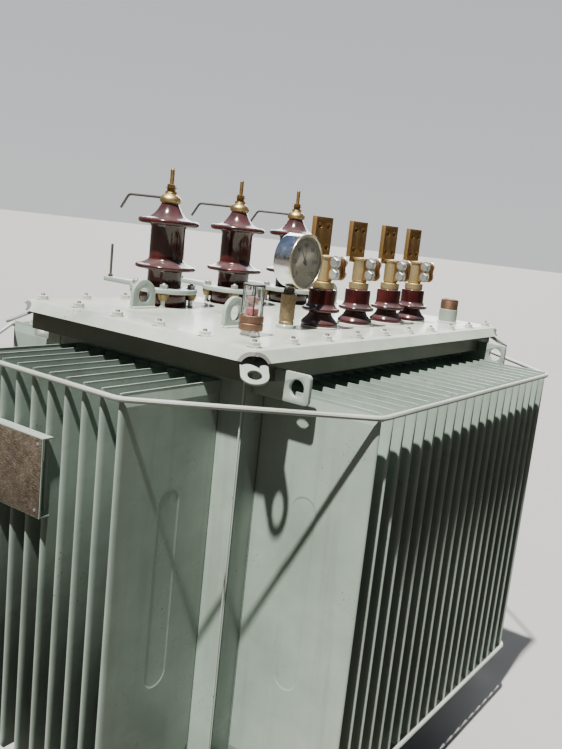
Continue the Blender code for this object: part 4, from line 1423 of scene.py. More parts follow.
@dataclass
class HighVoltageBushing(Assembly):
    """One high-voltage bushing: porcelain, clamp ring with its studs, brass cap and two arcing horns."""

    number: int = 1
    foot_radius: float = 0.055
    foot_height: float = 0.031
    foot_round: float = 0.004
    body_radius: float = 0.039
    shed_radius: float = 0.069
    lower_shed: float = 0.087
    lower_rim: float = 0.0095
    lower_rise: float = 0.018
    upper_shed: float = 0.190
    upper_rim: float = 0.013
    undercut: float = 0.003
    bell_curve: float = 2.9
    neck_radius: float = 0.0195
    height: float = 0.2315
    cap_radius: float = 0.0243
    cap_height: float = 0.020
    collar_radius: float = 0.0135
    collar_height: float = 0.005
    nut_across: float = 0.0175
    nut_height: float = 0.018
    stud_radius: float = 0.005
    stud_height: float = 0.310
    ring_radius: float = 0.077
    ring_thick: float = 0.011
    ring_round: float = 0.0022
    clamp_circle: float = 0.063
    clamp_stud: float = 0.005
    clamp_nut: float = 0.0165
    horn_radius: float = 0.003
    horn_reach: float = 0.137
    horn_tip: float = 0.162
    horn_drop: float = 0.033
    bar_reach: float = 0.200
    bar_width: float = 0.026
    pin_reach: float = 0.183
    pin_height: float = 0.083
    bell_steps: int = 16

    @property
    def foot(self) -> Vector:
        """The middle of the porcelain's underside."""
        return foot_of(f"hv_porcelain_{self.number}")

    def shed(self, level: float, rim: float) -> Profile:
        """A shed's underside with its drip groove, and its rounded edge.

        Args:
            level: Height of the edge's middle.
            rim: Thickness of the edge.

        Returns:
            This stretch of the profile.
        """
        outer, body = self.shed_radius - rim / 2, self.body_radius
        root = level - rim / 2 - self.undercut - 0.003
        under = [(body, root), (body + 0.003, level - rim / 2 - self.undercut * 0.6)]
        under += [(body + 0.006, level - rim * 0.35), (outer - 0.006, level - rim * 0.42)]
        under += [(outer - 0.003, level - rim * 0.55)]
        return under + arc((outer, level), rim / 2, -90, 80, 8)

    def profile(self) -> Profile:
        """The porcelain's profile from foot to neck.

        Returns:
            The profile.
        """
        body, foot = self.body_radius, self.foot_radius
        lower, upper = self.lower_shed, self.upper_shed
        flare = self.shed_radius - body
        shape = [(foot - 0.0015, 0.0), (foot, 0.0015)]
        shape += arc((foot - self.foot_round, self.foot_height - self.foot_round), self.foot_round, 0, 90, 4)
        shape += [(body + 0.003, self.foot_height), (body, self.foot_height + 0.003)]
        shape += self.shed(lower, self.lower_rim)
        lens = ((0.78, 0.26), (0.58, 0.38), (0.40, 0.50), (0.24, 0.64))
        lens += ((0.12, 0.78), (0.05, 0.89), (0.01, 1.0))
        shape += [(body + flare * out, lower + self.lower_rise * up) for out, up in lens]
        shape += [(body, lower + self.lower_rise + 0.004)]
        shape += self.shed(upper, self.upper_rim)
        widest, start = self.shed_radius - self.upper_rim / 2, upper + self.upper_rim / 2
        for i in range(1, self.bell_steps + 1):
            share = i / self.bell_steps
            radius = widest + (self.neck_radius - widest) * share
            shape.append((radius, start + (self.height - start) * share**self.bell_curve))
        return shape

    def cap_profile(self) -> Profile:
        """The profile of the domed cap and its collar.

        Returns:
            The profile.
        """
        cap, base = self.cap_radius, self.height + GAP
        dome = base + self.cap_height
        section = ((0.84, 0.0), (0.92, 0.08), (0.985, 0.22), (1.0, 0.36))
        section += ((0.985, 0.52), (0.93, 0.68), (0.83, 0.82), (0.70, 0.94))
        shape = [(cap * out, base + self.cap_height * up) for out, up in section]
        shape += [(self.collar_radius + 0.001, dome), (self.collar_radius, dome + 0.001)]
        shape += [(self.collar_radius, dome + self.collar_height - 0.001)]
        shape += [(self.collar_radius * 0.93, dome + self.collar_height)]
        return shape

    def terminal(self) -> None:
        """The cap, its nut and the threaded stud."""
        foot, n = self.foot, self.number
        top = foot + Vector((0, 0, self.height + GAP + self.cap_height + self.collar_height))
        cap = Bench.turned(f"hv_cap_{n}", foot, self.cap_profile(), FINE)
        self.keep(cap, "cap_brass", "brass", f"hv_terminal_{n}")
        washer = self.nut_height * 0.16 * 0.5
        nuts = [Bench.hexagon("nut", top + Vector((0, 0, washer)), self.nut_across, self.nut_height * 0.5)]
        upper = top + Vector((0, 0, self.nut_height * 0.58))
        nuts.append(Bench.hexagon("nut", upper, self.nut_across, self.nut_height * 0.42))
        nuts.append(Bench.stud("stud", top, self.stud_radius, foot.z + self.stud_height - top.z))
        self.keep(Bench.join(f"hv_stud_{n}", nuts), "stud_brass", "brass")

    def horns(self) -> None:
        """The upper horn from the cap, and the lower bar with its pin."""
        foot, n = self.foot, self.number
        level = self.height + self.cap_height * 0.6
        offsets = [(0, self.cap_radius * 0.7, level), (0, self.horn_reach, level)]
        offsets.append((0, self.horn_tip, level - self.horn_drop))
        points = [foot + Vector(offset) for offset in offsets]
        horn = Bench.rod(f"hv_upper_horn_{n}", points, self.horn_radius, 0.007)
        self.keep(horn, "horn_steel", "tank_paint")
        base = self.foot_height + self.ring_thick
        spot = foot + Vector((0, self.pin_reach, base))
        pin = Bench.stud("pin", spot - Vector((0, 0, 0.008)), self.horn_radius, 0.018)
        shaft = [(self.horn_radius, 0.004), (self.horn_radius, self.pin_height - 0.004)]
        shaft += [(self.horn_radius * 0.75, self.pin_height - 0.0045)]
        nut = Bench.hexagon("nut", spot + Vector((0, 0, 0.001)), 0.010, 0.005)
        pieces = [pin, Bench.turned("shaft", spot, shaft, COARSE), nut]
        self.keep(Bench.join(f"hv_lower_horn_{n}", pieces), "horn_steel", "tank_paint")

    def clamp(self) -> None:
        """The clamp ring with its arm, and its studs, nuts and collars."""
        foot, n = self.foot, self.number
        base, bore = self.foot_height + GAP, self.body_radius + 0.0012
        high, outer, edge = base + self.ring_thick, self.ring_radius, self.ring_round
        shape = [(outer - edge, base), (outer, base + edge)]
        shape += arc((outer - edge, high - edge), edge, 0, 90, 4)
        shape += [(bore + edge, high), (bore, high - edge), (bore, base)]
        ring = Bench.turned(f"hv_clamp_ring_{n}", foot, shape, FINE, bored=True)
        half = self.bar_width / 2
        centre = foot + Vector((0, self.bar_reach - half, base + self.ring_thick / 2))
        length = self.bar_reach - half - (self.ring_radius - 0.006)
        ways = Vector(Toward.UP.value), Vector(Toward.FRONT.value)
        bar = Bench.tongue("bar", centre, half, self.ring_thick, *ways, length)
        ring = Bench.join(f"hv_clamp_ring_{n}", [ring, Bench.soften(bar, 0.0012)])
        self.keep(ring, "fitting_enamel", "tank_paint", f"hv_clamp_{n}")
        shifts = [(x, y, 0) for x, y in arc((0, 0), self.clamp_circle, 45, 315, 3)]
        nut = Bench.hexagon("nut", foot + Vector((0, 0, high + 0.0012)), self.clamp_nut, 0.008)
        end = Bench.stud("end", foot + Vector((0, 0, high + 0.006)), self.clamp_stud, 0.0065)
        foot_bead = [(0.0075, 0.0), (0.0078, 0.0022), (0.0052, 0.0034)]
        bead = Bench.turned("bead", foot, foot_bead, COARSE)
        shank = Bench.turned("shank", foot, [(self.clamp_stud, 0.001), (self.clamp_stud, base)], COARSE)
        nut = Bench.join("nut", [nut, end, bead, shank])
        self.keep(Bench.repeat(f"hv_clamp_nuts_{n}", nut, shifts), "zinc_plating", "tank_paint")
        section = ((0.0088, 0.0165), (0.0128, 0.0045), (0.0130, 0.0020), (0.0118, 0.0012))
        collar = Bench.turned("collar", foot, [(out, base - down) for out, down in section], MEDIUM)
        self.keep(Bench.repeat(f"hv_clamp_collars_{n}", collar, shifts), "collar_brass", "brass")

    def build(self) -> None:
        """Build the whole bushing."""
        n = self.number
        body = Bench.turned(f"hv_insulator_{n}", self.foot, self.profile(), FINE, angle=50)
        self.keep(body, "bushing_glaze", "brown_porcelain", f"hv_porcelain_{n}")
        self.terminal()
        self.clamp()
        self.horns()


@dataclass
class LowVoltageBushing(Assembly):
    """One low-voltage bushing: porcelain, gland, split clamp with its bolts, and the drilled flag."""

    number: int = 1
    bell_radius: float = 0.041
    bell_height: float = 0.030
    neck_radius: float = 0.025
    shed_radius: float = 0.0425
    shed_level: float = 0.040
    shed_rim: float = 0.009
    shed_rise: float = 0.013
    body_radius: float = 0.030
    height: float = 0.085
    edge: float = 0.003
    gland_radius: float = 0.0235
    gland_height: float = 0.019
    seat: float = 0.0035
    clamp_radius: float = 0.0185
    clamp_height: float = 0.054
    gasket: float = 0.004
    flange_lip: float = 0.0025
    flange_height: float = 0.006
    ear_reach: float = 0.046
    ear_below: float = 0.002
    ear_height: float = 0.048
    ear_round: float = 0.009
    ear_thick: float = 0.008
    ear_split: float = 0.008
    bolt_across: float = 0.018
    bolt_radius: float = 0.005
    bolt_reach: float = 0.034
    bolt_levels: tuple[float, float] = (0.0115, 0.037)
    bolt_seat: float = 0.0012
    head_height: float = 0.007
    nut_height: float = 0.009
    end_start: float = 0.007
    end_length: float = 0.012
    flag_width: float = 0.065
    flag_height: float = 0.082
    flag_thick: float = 0.011
    flag_back: float = 0.014
    flag_root: float = 0.012
    hole_radius: float = 0.007
    hole_across: float = 0.033
    hole_up: float = 0.045

    @property
    def foot(self) -> Vector:
        """The middle of the porcelain's underside."""
        return foot_of(f"lv_porcelain_{self.number}")

    def profile(self) -> Profile:
        """The porcelain's profile: a bell, a neck, a shed and a plain top.

        Returns:
            The profile.
        """
        bell, neck, shed, body = self.bell_radius, self.neck_radius, self.shed_radius, self.body_radius
        tall, level, rim = self.bell_height, self.shed_level, self.shed_rim
        lip = ((0.95, 0.0), (0.985, 0.001), (1.0, 0.003), (1.0, 0.0065))
        shape = [(bell * out, self.gasket + up) for out, up in lip]
        curve = ((0.985, 0.38), (0.955, 0.45), (0.90, 0.54), (0.82, 0.65), (0.74, 0.76), (0.67, 0.88))
        shape += [(bell * out, tall * up) for out, up in curve]
        shape += [(neck + 0.0008, tall), (neck, tall + 0.0012), (neck, level - rim * 0.62)]
        shape += [(neck + 0.002, level - rim * 0.54)]
        shape += arc((shed - rim / 2, level), rim / 2, -90, 75, 7)
        slope = ((0.62, 0.34), (0.45, 0.48), (0.30, 0.60), (0.14, 0.78), (0.03, 0.93))
        shape += [(body + (shed - body) * out, level + self.shed_rise * up) for out, up in slope]
        shape += [(body, level + self.shed_rise + 0.001)]
        shape += arc((body - self.edge, self.height - self.edge), self.edge, 0, 90, 4)
        return shape

    def terminal(self) -> None:
        """The gland, the split clamp and its two bolts."""
        foot, n = self.foot, self.number
        base = self.height + GAP
        low = base + self.gland_height
        top = low + self.clamp_height
        gland = [(self.gland_radius - 0.001, base), (self.gland_radius, base + 0.001)]
        gland += [(self.gland_radius, low - self.seat - 0.001), (self.gland_radius - 0.001, low - self.seat)]
        gland += [(self.clamp_radius * 0.9, low - self.seat), (self.clamp_radius * 0.9, low - 0.0002)]
        gland = Bench.turned(f"lv_gland_{n}", foot, gland, FINE)
        self.keep(gland, "clamp_brass", "brass")
        flange = self.clamp_radius + self.flange_lip
        shape = [(self.clamp_radius - 0.001, low), (self.clamp_radius, low + 0.0012)]
        shape += [(self.clamp_radius, top - self.flange_height)]
        shape += [(flange - 0.0004, top - self.flange_height * 0.8)]
        shape += [(flange, top - 0.001), (flange - 0.001, top)]
        barrel = Bench.turned(f"lv_clamp_{n}", foot, shape, FINE)
        self.keep(barrel, "clamp_brass", "brass", f"lv_terminal_{n}")
        ears = [self.ear(foot, side, top) for side in (-1, 1)]
        self.keep(Bench.join(f"lv_clamp_ears_{n}", ears), "ear_brass", "brass")
        self.bolts(foot, top)

    def ear(self, foot: Vector, side: int, top: float) -> Piece:
        """One ear of the split clamp, with rounded corners.

        Args:
            foot: The bushing's foot.
            side: -1 for the left ear, 1 for the right one.
            top: Height of the clamp's top over the foot.

        Returns:
            The ear.
        """
        high = foot.z + top - self.ear_below
        tip, split = foot.y - self.ear_reach, self.ear_split / 2
        near, far = sorted(foot.x + side * off for off in (split, split + self.ear_thick))
        back = foot.y - self.clamp_radius * 0.5
        ear = Bench.block("ear", (near, tip, high - self.ear_height), (far, back, high))
        Bench.round_tip(ear, tip, self.ear_round, 6)
        return Bench.soften(ear, 0.0008)

    def bolts(self, foot: Vector, top: float) -> None:
        """Two hexagon bolts through the ears, heads to the left, with nuts and threads at the right.

        Args:
            foot: The bushing's foot.
            top: Height of the clamp's top over the foot.
        """
        pieces = []
        across, radius = self.bolt_across, self.bolt_radius
        outer = self.ear_split / 2 + self.ear_thick + self.bolt_seat
        shank = [(radius, 0.0), (radius, self.ear_split)]
        for below in self.bolt_levels:
            axis = foot + Vector((0, -self.bolt_reach, top - below))
            left, right, end = (axis + Vector((x, 0, 0)) for x in (-outer, outer, outer + self.end_start))
            pieces.append(Bench.hexagon("head", left, across, self.head_height, Toward.LEFT))
            pieces.append(Bench.hexagon("nut", right, across, self.nut_height, Toward.RIGHT))
            pieces.append(Bench.stud("end", end, radius, self.end_length, Toward.RIGHT))
            start = axis - Vector((self.ear_split / 2, 0, 0))
            pieces.append(Bench.turned("shank", start, shank, COARSE, Toward.RIGHT))
        self.keep(Bench.join(f"lv_clamp_bolts_{self.number}", pieces), "zinc_plating", "brass")

    def flag(self) -> None:
        """The flag plate with its four holes."""
        foot, n = self.foot, self.number
        clamp_top = foot.z + self.height + GAP + self.gland_height + self.clamp_height
        back, half = foot.y + self.flag_back, self.flag_width / 2
        top = clamp_top + self.flag_height
        low = (foot.x - half, back, clamp_top + GAP)
        flag = Bench.block(f"lv_flag_{n}", low, (foot.x + half, back + self.flag_thick, top))
        centre = top - self.flag_height / 2
        thick = self.flag_thick
        for across in (-0.5, 0.5):
            for up in (-0.5, 0.5):
                spot = (foot.x + across * self.hole_across, back - thick, centre + up * self.hole_up)
                Bench.bore(flag, spot, self.hole_radius, thick * 3, Toward.REAR)
        root_low = (foot.x - half * 0.5, back, clamp_top - self.flag_root)
        root = Bench.block("root", root_low, (foot.x + half * 0.5, back + thick, clamp_top + GAP))
        flag = Bench.join(f"lv_flag_{n}", [Bench.soften(flag, 0.0013), Bench.soften(root, 0.0008)])
        self.keep(flag, "flag_brass", "brass")

    def build(self) -> None:
        """Build the whole bushing with the gasket under it."""
        n = self.number
        body = Bench.turned(f"lv_insulator_{n}", self.foot, self.profile(), FINE, angle=50)
        self.keep(body, "bushing_glaze", "brown_porcelain", f"lv_porcelain_{n}")
        wide, thick = self.bell_radius + 0.0006, self.gasket - GAP
        gasket = Bench.turned(f"lv_gasket_{n}", self.foot, chamfered(wide, 0.0, thick, 0.001), FINE)
        self.keep(gasket, "gasket_rubber", "brown_porcelain")
        self.terminal()
        self.flag()


@dataclass
class DialThermometer(Assembly):
    """Dial thermometer: chrome drum, gilt bezel, dial with plain numbers, pointer, glass and stem."""

    radius: float = 0.058
    depth: float = 0.048
    rim: float = 0.005
    face_inset: float = 0.0075
    glass_inset: float = 0.0035
    ticks: int = 61
    numbers: tuple[int, ...] = (0, 20, 40, 60, 80, 100, 120)
    start_angle: float = 225.0
    sweep: float = 270.0
    reading: float = 0.38
    stem_radius: float = 0.016
    neck_radius: float = 0.0096
    flange_radius: float = 0.021
    nut_across: float = 0.0225
    nut_height: float = 0.0075
    long_every: int = 10
    long_mark: tuple[float, float] = (0.80, 0.0016)
    short_mark: tuple[float, float] = (0.85, 0.0009)
    mark_end: float = 0.93
    text_size: float = 0.0125
    text_depth: float = 0.0001

    @property
    def face(self) -> Vector:
        """The middle of the dial's front."""
        low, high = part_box("thermometer_head")
        return Vector(((low.x + high.x) / 2, low.y, (low.z + high.z) / 2))

    def around(self, share: float, radius: float, inset: float) -> Vector:
        """A point on the dial.

        Args:
            share: 0 at the first mark and 1 at the last.
            radius: Distance from the middle.
            inset: Depth behind the front.

        Returns:
            The point.
        """
        turn = math.radians(self.start_angle - self.sweep * share)
        return self.face + Vector((radius * math.cos(turn), inset, radius * math.sin(turn)))

    def drum(self) -> None:
        """The drum with its recess, and the bezel ring in front."""
        depth, radius = self.depth, self.radius - 0.002
        back = self.face + Vector((0, depth, 0))
        inner = self.radius - self.rim
        shape = [(radius - 0.005, 0.0), (radius - 0.0022, 0.0010), (radius - 0.0006, 0.0026), (radius, 0.005)]
        shape += [(radius, depth - self.rim - 0.0015), (radius - 0.001, depth - self.rim - 0.0005)]
        shape += [(inner - 0.001, depth - self.rim), (inner - 0.001, depth - self.face_inset - 0.001)]
        drum = Bench.turned("dial_drum", back, shape, FINE, Toward.FRONT)
        self.keep(drum, "drum_chrome", "chrome", "thermometer_head")
        outer, thick = self.radius, self.rim
        front = self.face + Vector((0, thick, 0))
        bezel = [(outer - 0.0006, 0.0), (outer, 0.0008)]
        bezel += arc((outer - thick * 0.5, thick * 0.5), thick * 0.5, 0, 180, 10)
        bezel += [(outer - thick, 0.0)]
        ring = Bench.turned("dial_bezel", front, bezel, FINE, Toward.FRONT, bored=True)
        self.keep(ring, "bezel_gilt", "chrome")

    def dial(self) -> None:
        """The cream dial, its marks and plain numbers, the pointers and the glass."""
        inner = self.radius - self.rim - 0.0012
        back = self.face + Vector((0, self.face_inset + 0.0008, 0))
        plate = [(inner - 0.0004, 0.0), (inner, 0.0003), (inner, 0.0009), (inner - 0.0006, 0.0012)]
        self.keep(Bench.turned("dial_face", back, plate, FINE, Toward.FRONT), "dial_cream", "chrome")
        level = self.face_inset - 0.0005
        marks = []
        for i in range(self.ticks):
            share = i / (self.ticks - 1)
            reach, width = self.short_mark if i % self.long_every else self.long_mark
            start = self.around(share, inner * reach, level)
            run = self.around(share, inner * self.mark_end, level) - start
            marks.append(Bench.turned("mark", start, [(width / 2, 0.0), (width / 2, run.length)], 4, run))
        self.keep(Bench.join("dial_marks", marks), "dial_ink", "chrome")
        for i, number in enumerate(self.numbers):
            spot = self.around(i / (len(self.numbers) - 1), inner * 0.66, level)
            self.keep(self.numeral(number, spot), "dial_ink", "chrome")
        self.pointer("dial_pointer", self.reading, inner * 0.76, 0.0024, level - 0.0016, "dial_ink")
        reading, front = self.reading + 0.13, level - 0.0008
        self.pointer("dial_maximum_pointer", reading, inner * 0.66, 0.0018, front, "pointer_red")
        hub = [(0.0052, 0.0), (0.0052, 0.0012), (0.0040, 0.0017), (0.0018, 0.0019)]
        spot = self.face + Vector((0, level, 0))
        self.keep(Bench.turned("dial_hub", spot, hub, MEDIUM, Toward.FRONT), "dark_steel", "chrome")
        glass = [(inner - 0.0002, 0.0), (inner, 0.0002), (inner, 0.0010), (inner - 0.001, 0.0013)]
        spot = self.face + Vector((0, self.glass_inset + 0.0013, 0))
        pane = Bench.turned("dial_glass", spot, glass, FINE, Toward.FRONT)
        self.keep(pane, "clear_glass", "gauge_glass")

    def numeral(self, number: int, spot: Vector) -> Piece:
        """One plain number, made a mesh and set upright on the dial.

        Args:
            number: The number.
            spot: Its middle.

        Returns:
            The piece.
        """
        Bench.clear()
        bpy.ops.object.text_add(location=spot, rotation=(math.pi / 2, 0, 0))
        text = bpy.context.object
        text.data.body = str(number)
        text.data.size = self.text_size
        text.data.extrude = self.text_depth
        text.data.align_x = "CENTER"
        text.data.align_y = "CENTER"
        text.data.resolution_u = 3
        bpy.ops.object.convert(target="MESH")
        return Bench.settle(bpy.context.object, f"dial_number_{number}", None)

    def pointer(
        self, name: str, share: float, length: float, width: float, level: float, finish: str
    ) -> None:
        """A tapered pointer with a short tail.

        Args:
            name: The piece's name.
            share: Where it points, 0 at the first mark and 1 at the last.
            length: From the hub to the tip.
            width: Width at the hub.
            level: Depth behind the front.
            finish: Name of its finish.
        """
        tip = self.around(share, length, level)
        hub = self.around(share, 0.0, level)
        tail = hub - (tip - hub) * 0.22
        run = (tip - tail).length
        shape = [(width * 0.55, 0.0), (width, run * 0.05), (width * 0.8, run * 0.3), (width * 0.15, run)]
        blade = Bench.turned(name, tail, shape, 6, tip - tail)
        Bench.edit(blade)
        bpy.ops.mesh.select_all(action="SELECT")
        bpy.ops.transform.resize(value=(1.0, 0.25, 1.0), center_override=tuple(hub))
        bpy.ops.object.mode_set(mode="OBJECT")
        self.keep(blade, finish, "chrome")

    def stem(self) -> None:
        """The bronze stem with its nut, on a pale flange."""
        low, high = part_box("thermometer_pocket")
        foot, tall = foot_of("thermometer_pocket"), high.z - low.z
        radius, neck = self.stem_radius, self.neck_radius
        shape = [(radius - 0.001, 0.006), (radius, 0.0075), (radius, 0.013), (radius * 0.94, 0.014)]
        shape += [(radius * 0.94, 0.018), (radius, 0.019), (radius, tall - 0.0155)]
        shape += [(radius - 0.0012, tall - 0.014)]
        shape += [(neck, tall - 0.0100), (neck, tall - 0.0006)]
        stem = Bench.turned("thermometer_stem", foot, shape, FINE)
        self.keep(stem, "stem_bronze", "brass", "thermometer_pocket")
        seat = foot + Vector((0, 0, tall - 0.0105))
        nut = Bench.hexagon("thermometer_nut", seat, self.nut_across, self.nut_height)
        self.keep(nut, "dark_steel", "brass")
        wide = self.flange_radius
        flange = [(wide, 0.0), (wide, 0.0055), (wide - 0.001, 0.0068), (radius, 0.0075)]
        self.keep(Bench.turned("thermometer_flange", foot, flange, FINE), "fitting_enamel", "tank_paint")

    def build(self) -> None:
        """Build the whole thermometer."""
        self.drum()
        self.dial()
        self.stem()


@dataclass
class OilGauge(Assembly):
    """Oil gauge: nipple, union bands, glass with tie rods and lid, float and a small side valve."""

    glass_radius: float = 0.0195
    glass_wall: float = 0.003
    float_radius: float = 0.012
    union_radius: float = 0.0235
    nipple_radius: float = 0.018
    nipple_height: float = 0.010
    rod_radius: float = 0.0014
    rod_sides: int = 10
    valve_way: Point = (-0.62, -0.78, 0.0)
    valve_level: float = 0.0065

    def build(self) -> None:
        """Build the whole gauge."""
        base_low, base_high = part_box("gauge_base")
        foot, shelf = foot_of("gauge_base"), base_high.z - base_low.z
        wide = self.nipple_radius
        nipple = [(wide + 0.002, 0.0), (wide + 0.0018, 0.002), (wide, 0.003), (wide, self.nipple_height)]
        self.keep(Bench.turned("gauge_nipple", foot, nipple, FINE), "zinc_plating", "brass")
        union = self.union_radius
        low = self.nipple_height
        half = (shelf - low) / 2
        band = []
        for start in (low, low + half):
            band += [(union - 0.0012, start + 0.0004), (union, start + 0.0016)]
            band += [(union, start + half - 0.0018), (union - 0.0012, start + half - 0.0006)]
        bands = Bench.turned("gauge_union", foot, band, FINE)
        self.keep(bands, "union_copper", "brass", "gauge_base")
        self.tube(foot)
        self.valve(foot)

    def tube(self, foot: Vector) -> None:
        """The glass, the float, the lid and the tie rods.

        Args:
            foot: The gauge's foot.
        """
        low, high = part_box("gauge_glass")
        bottom, top = low.z - foot.z, high.z - foot.z
        outer, inner = self.glass_radius, self.glass_radius - self.glass_wall
        glass = chamfered(outer, bottom, top, 0.0006) + [(inner, top), (inner, bottom)]
        pane = Bench.turned("gauge_tube", foot, glass, FINE, bored=True)
        self.keep(pane, "clear_glass", "gauge_glass", "gauge_glass")
        float_low, float_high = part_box("gauge_float")
        rise = float_high.z - float_low.z
        start = float_low.z - foot.z
        wide = self.float_radius
        body = [(wide * 0.8, start), (wide, start + 0.002)]
        body += [(wide, start + rise * 0.32), (wide * 0.92, start + rise * 0.36)]
        bobber = Bench.turned("gauge_float_body", foot, body, MEDIUM)
        self.keep(bobber, "float_red", "red_float", "gauge_float")
        section = ((0.28, 0.36), (0.28, 0.62), (0.85, 0.66), (0.9, 0.74), (0.9, 0.95), (0.6, 1.0))
        head = [(wide * out, start + rise * up) for out, up in section]
        self.keep(Bench.turned("gauge_float_head", foot, head, MEDIUM), "float_pink", "red_float")
        lid_low, lid_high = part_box("gauge_lid")
        wide, tall = (lid_high.x - lid_low.x) / 2, lid_high.z - lid_low.z
        base = lid_low.z - foot.z
        lid = [(wide - 0.0008, base), (wide, base + 0.0008)]
        lid += [(wide, base + tall - 0.001), (wide - 0.001, base + tall)]
        self.keep(Bench.turned("gauge_cap", foot, lid, FINE), "dark_steel", "brass", "gauge_lid")
        rod = Bench.turned("rod", foot, [(self.rod_radius, bottom), (self.rod_radius, base)], self.rod_sides)
        shifts = [(x, y, 0) for x, y in arc((0, 0), self.glass_radius + 0.0002, 45, 315, 3)]
        self.keep(Bench.repeat("gauge_tie_rods", rod, shifts), "dark_steel", "brass")

    def valve(self, foot: Vector) -> None:
        """The small bleed valve with its tee handle at the lower left.

        Args:
            foot: The gauge's foot.
        """
        out = Vector(self.valve_way).normalized()
        side = Vector((-out.y, out.x, 0))
        spot = foot + out * self.nipple_radius * 0.9 + Vector((0, 0, self.valve_level))
        body = [(0.0042, 0.0), (0.0042, 0.006), (0.0056, 0.007), (0.0056, 0.011)]
        body += [(0.0030, 0.012), (0.0030, 0.016)]
        stem = Bench.turned("stem", spot, body, COARSE, out)
        start = spot + out * 0.0145 - side * 0.009
        handle = [(0.0014, 0.0), (0.0022, 0.001), (0.0022, 0.004), (0.0016, 0.007), (0.0016, 0.011)]
        handle += [(0.0022, 0.014), (0.0022, 0.017), (0.0014, 0.018)]
        tee = Bench.turned("tee", start, handle, COARSE, side)
        self.keep(Bench.join("gauge_bleed_valve", [stem, tee]), "zinc_plating", "brass")


@dataclass
class FillerPipe(Assembly):
    """Filler pipe with its threaded brown band."""

    pitch: float = 0.0026
    thread: float = 0.0012

    def build(self) -> None:
        """Turn the pipe and the band."""
        low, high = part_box("filler_pipe")
        foot = foot_of("filler_pipe")
        radius, tall = (high.x - low.x) / 2, high.z - low.z
        pipe = [(radius, 0.0), (radius, tall - 0.002), (radius - 0.002, tall)]
        tube = Bench.turned("filler_tube", foot, pipe, FINE)
        self.keep(tube, "fitting_enamel", "tank_paint", "filler_pipe")
        bead = [(radius + 0.003, 0.0), (radius + 0.0026, 0.0018), (radius, 0.0034)]
        self.keep(Bench.turned("filler_weld", foot, bead, FINE), "weld_enamel", "tank_paint")
        low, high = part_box("filler_cap")
        base, top = low.z - foot.z, high.z - foot.z
        cap = (high.x - low.x) / 2
        root = cap - self.thread
        shape = [(root, base)]
        for i in range(int((top - base) / self.pitch) - 2):
            for radius, share in ((cap, 0.3), (cap, 0.55), (root, 0.9)):
                shape.append((radius, base + self.pitch * (i + share)))
        mouth = ((0.0006, 0.003), (0.0006, 0.001), (0.002, 0.0), (0.006, 0.0), (0.007, 0.002))
        shape += [(cap - off, top - down) for off, down in mouth]
        band = Bench.turned("filler_thread", foot, shape, FINE, angle=50)
        self.keep(band, "union_copper", "brass", "filler_cap")


@dataclass
class RatingPlate(Assembly):
    """Folded bracket on the fin edges, with a bare ruled plate and four screws."""

    edge: float = 0.0003
    spread: float = 0.0046
    screw: float = 0.0034
    screw_height: float = 0.0012
    inset: float = 0.007

    def build(self) -> None:
        """Dress the bracket and the plate, and set the screws."""
        self.dress("plate_bracket", "fitting_enamel")
        low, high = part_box("rating_plate")
        spread = Vector((0, self.spread, self.spread))
        front = low + Vector((self.screw_height, 0, 0)) - spread
        sheet = Bench.block("rating_plate_sheet", front, high + spread)
        self.keep(Bench.soften(sheet, self.edge), "etched_plate", "rating_plate_metal", "rating_plate")
        wide, tall = self.screw, self.screw_height
        head = [(wide, 0.0), (wide, tall * 0.4), (wide * 0.8, tall * 0.8), (wide * 0.35, tall)]
        first = Vector((low.x + tall, low.y + self.inset, low.z + self.inset))
        screw = Bench.turned("screw", first, head, COARSE, Toward.LEFT)
        wide, tall = high.y - low.y - 2 * self.inset, high.z - low.z - 2 * self.inset
        shifts = [(0, 0, 0), (0, wide, 0), (0, 0, tall), (0, wide, tall)]
        screws = Bench.repeat("rating_plate_screws", screw, shifts)
        self.keep(screws, "zinc_plating", "rating_plate_metal")


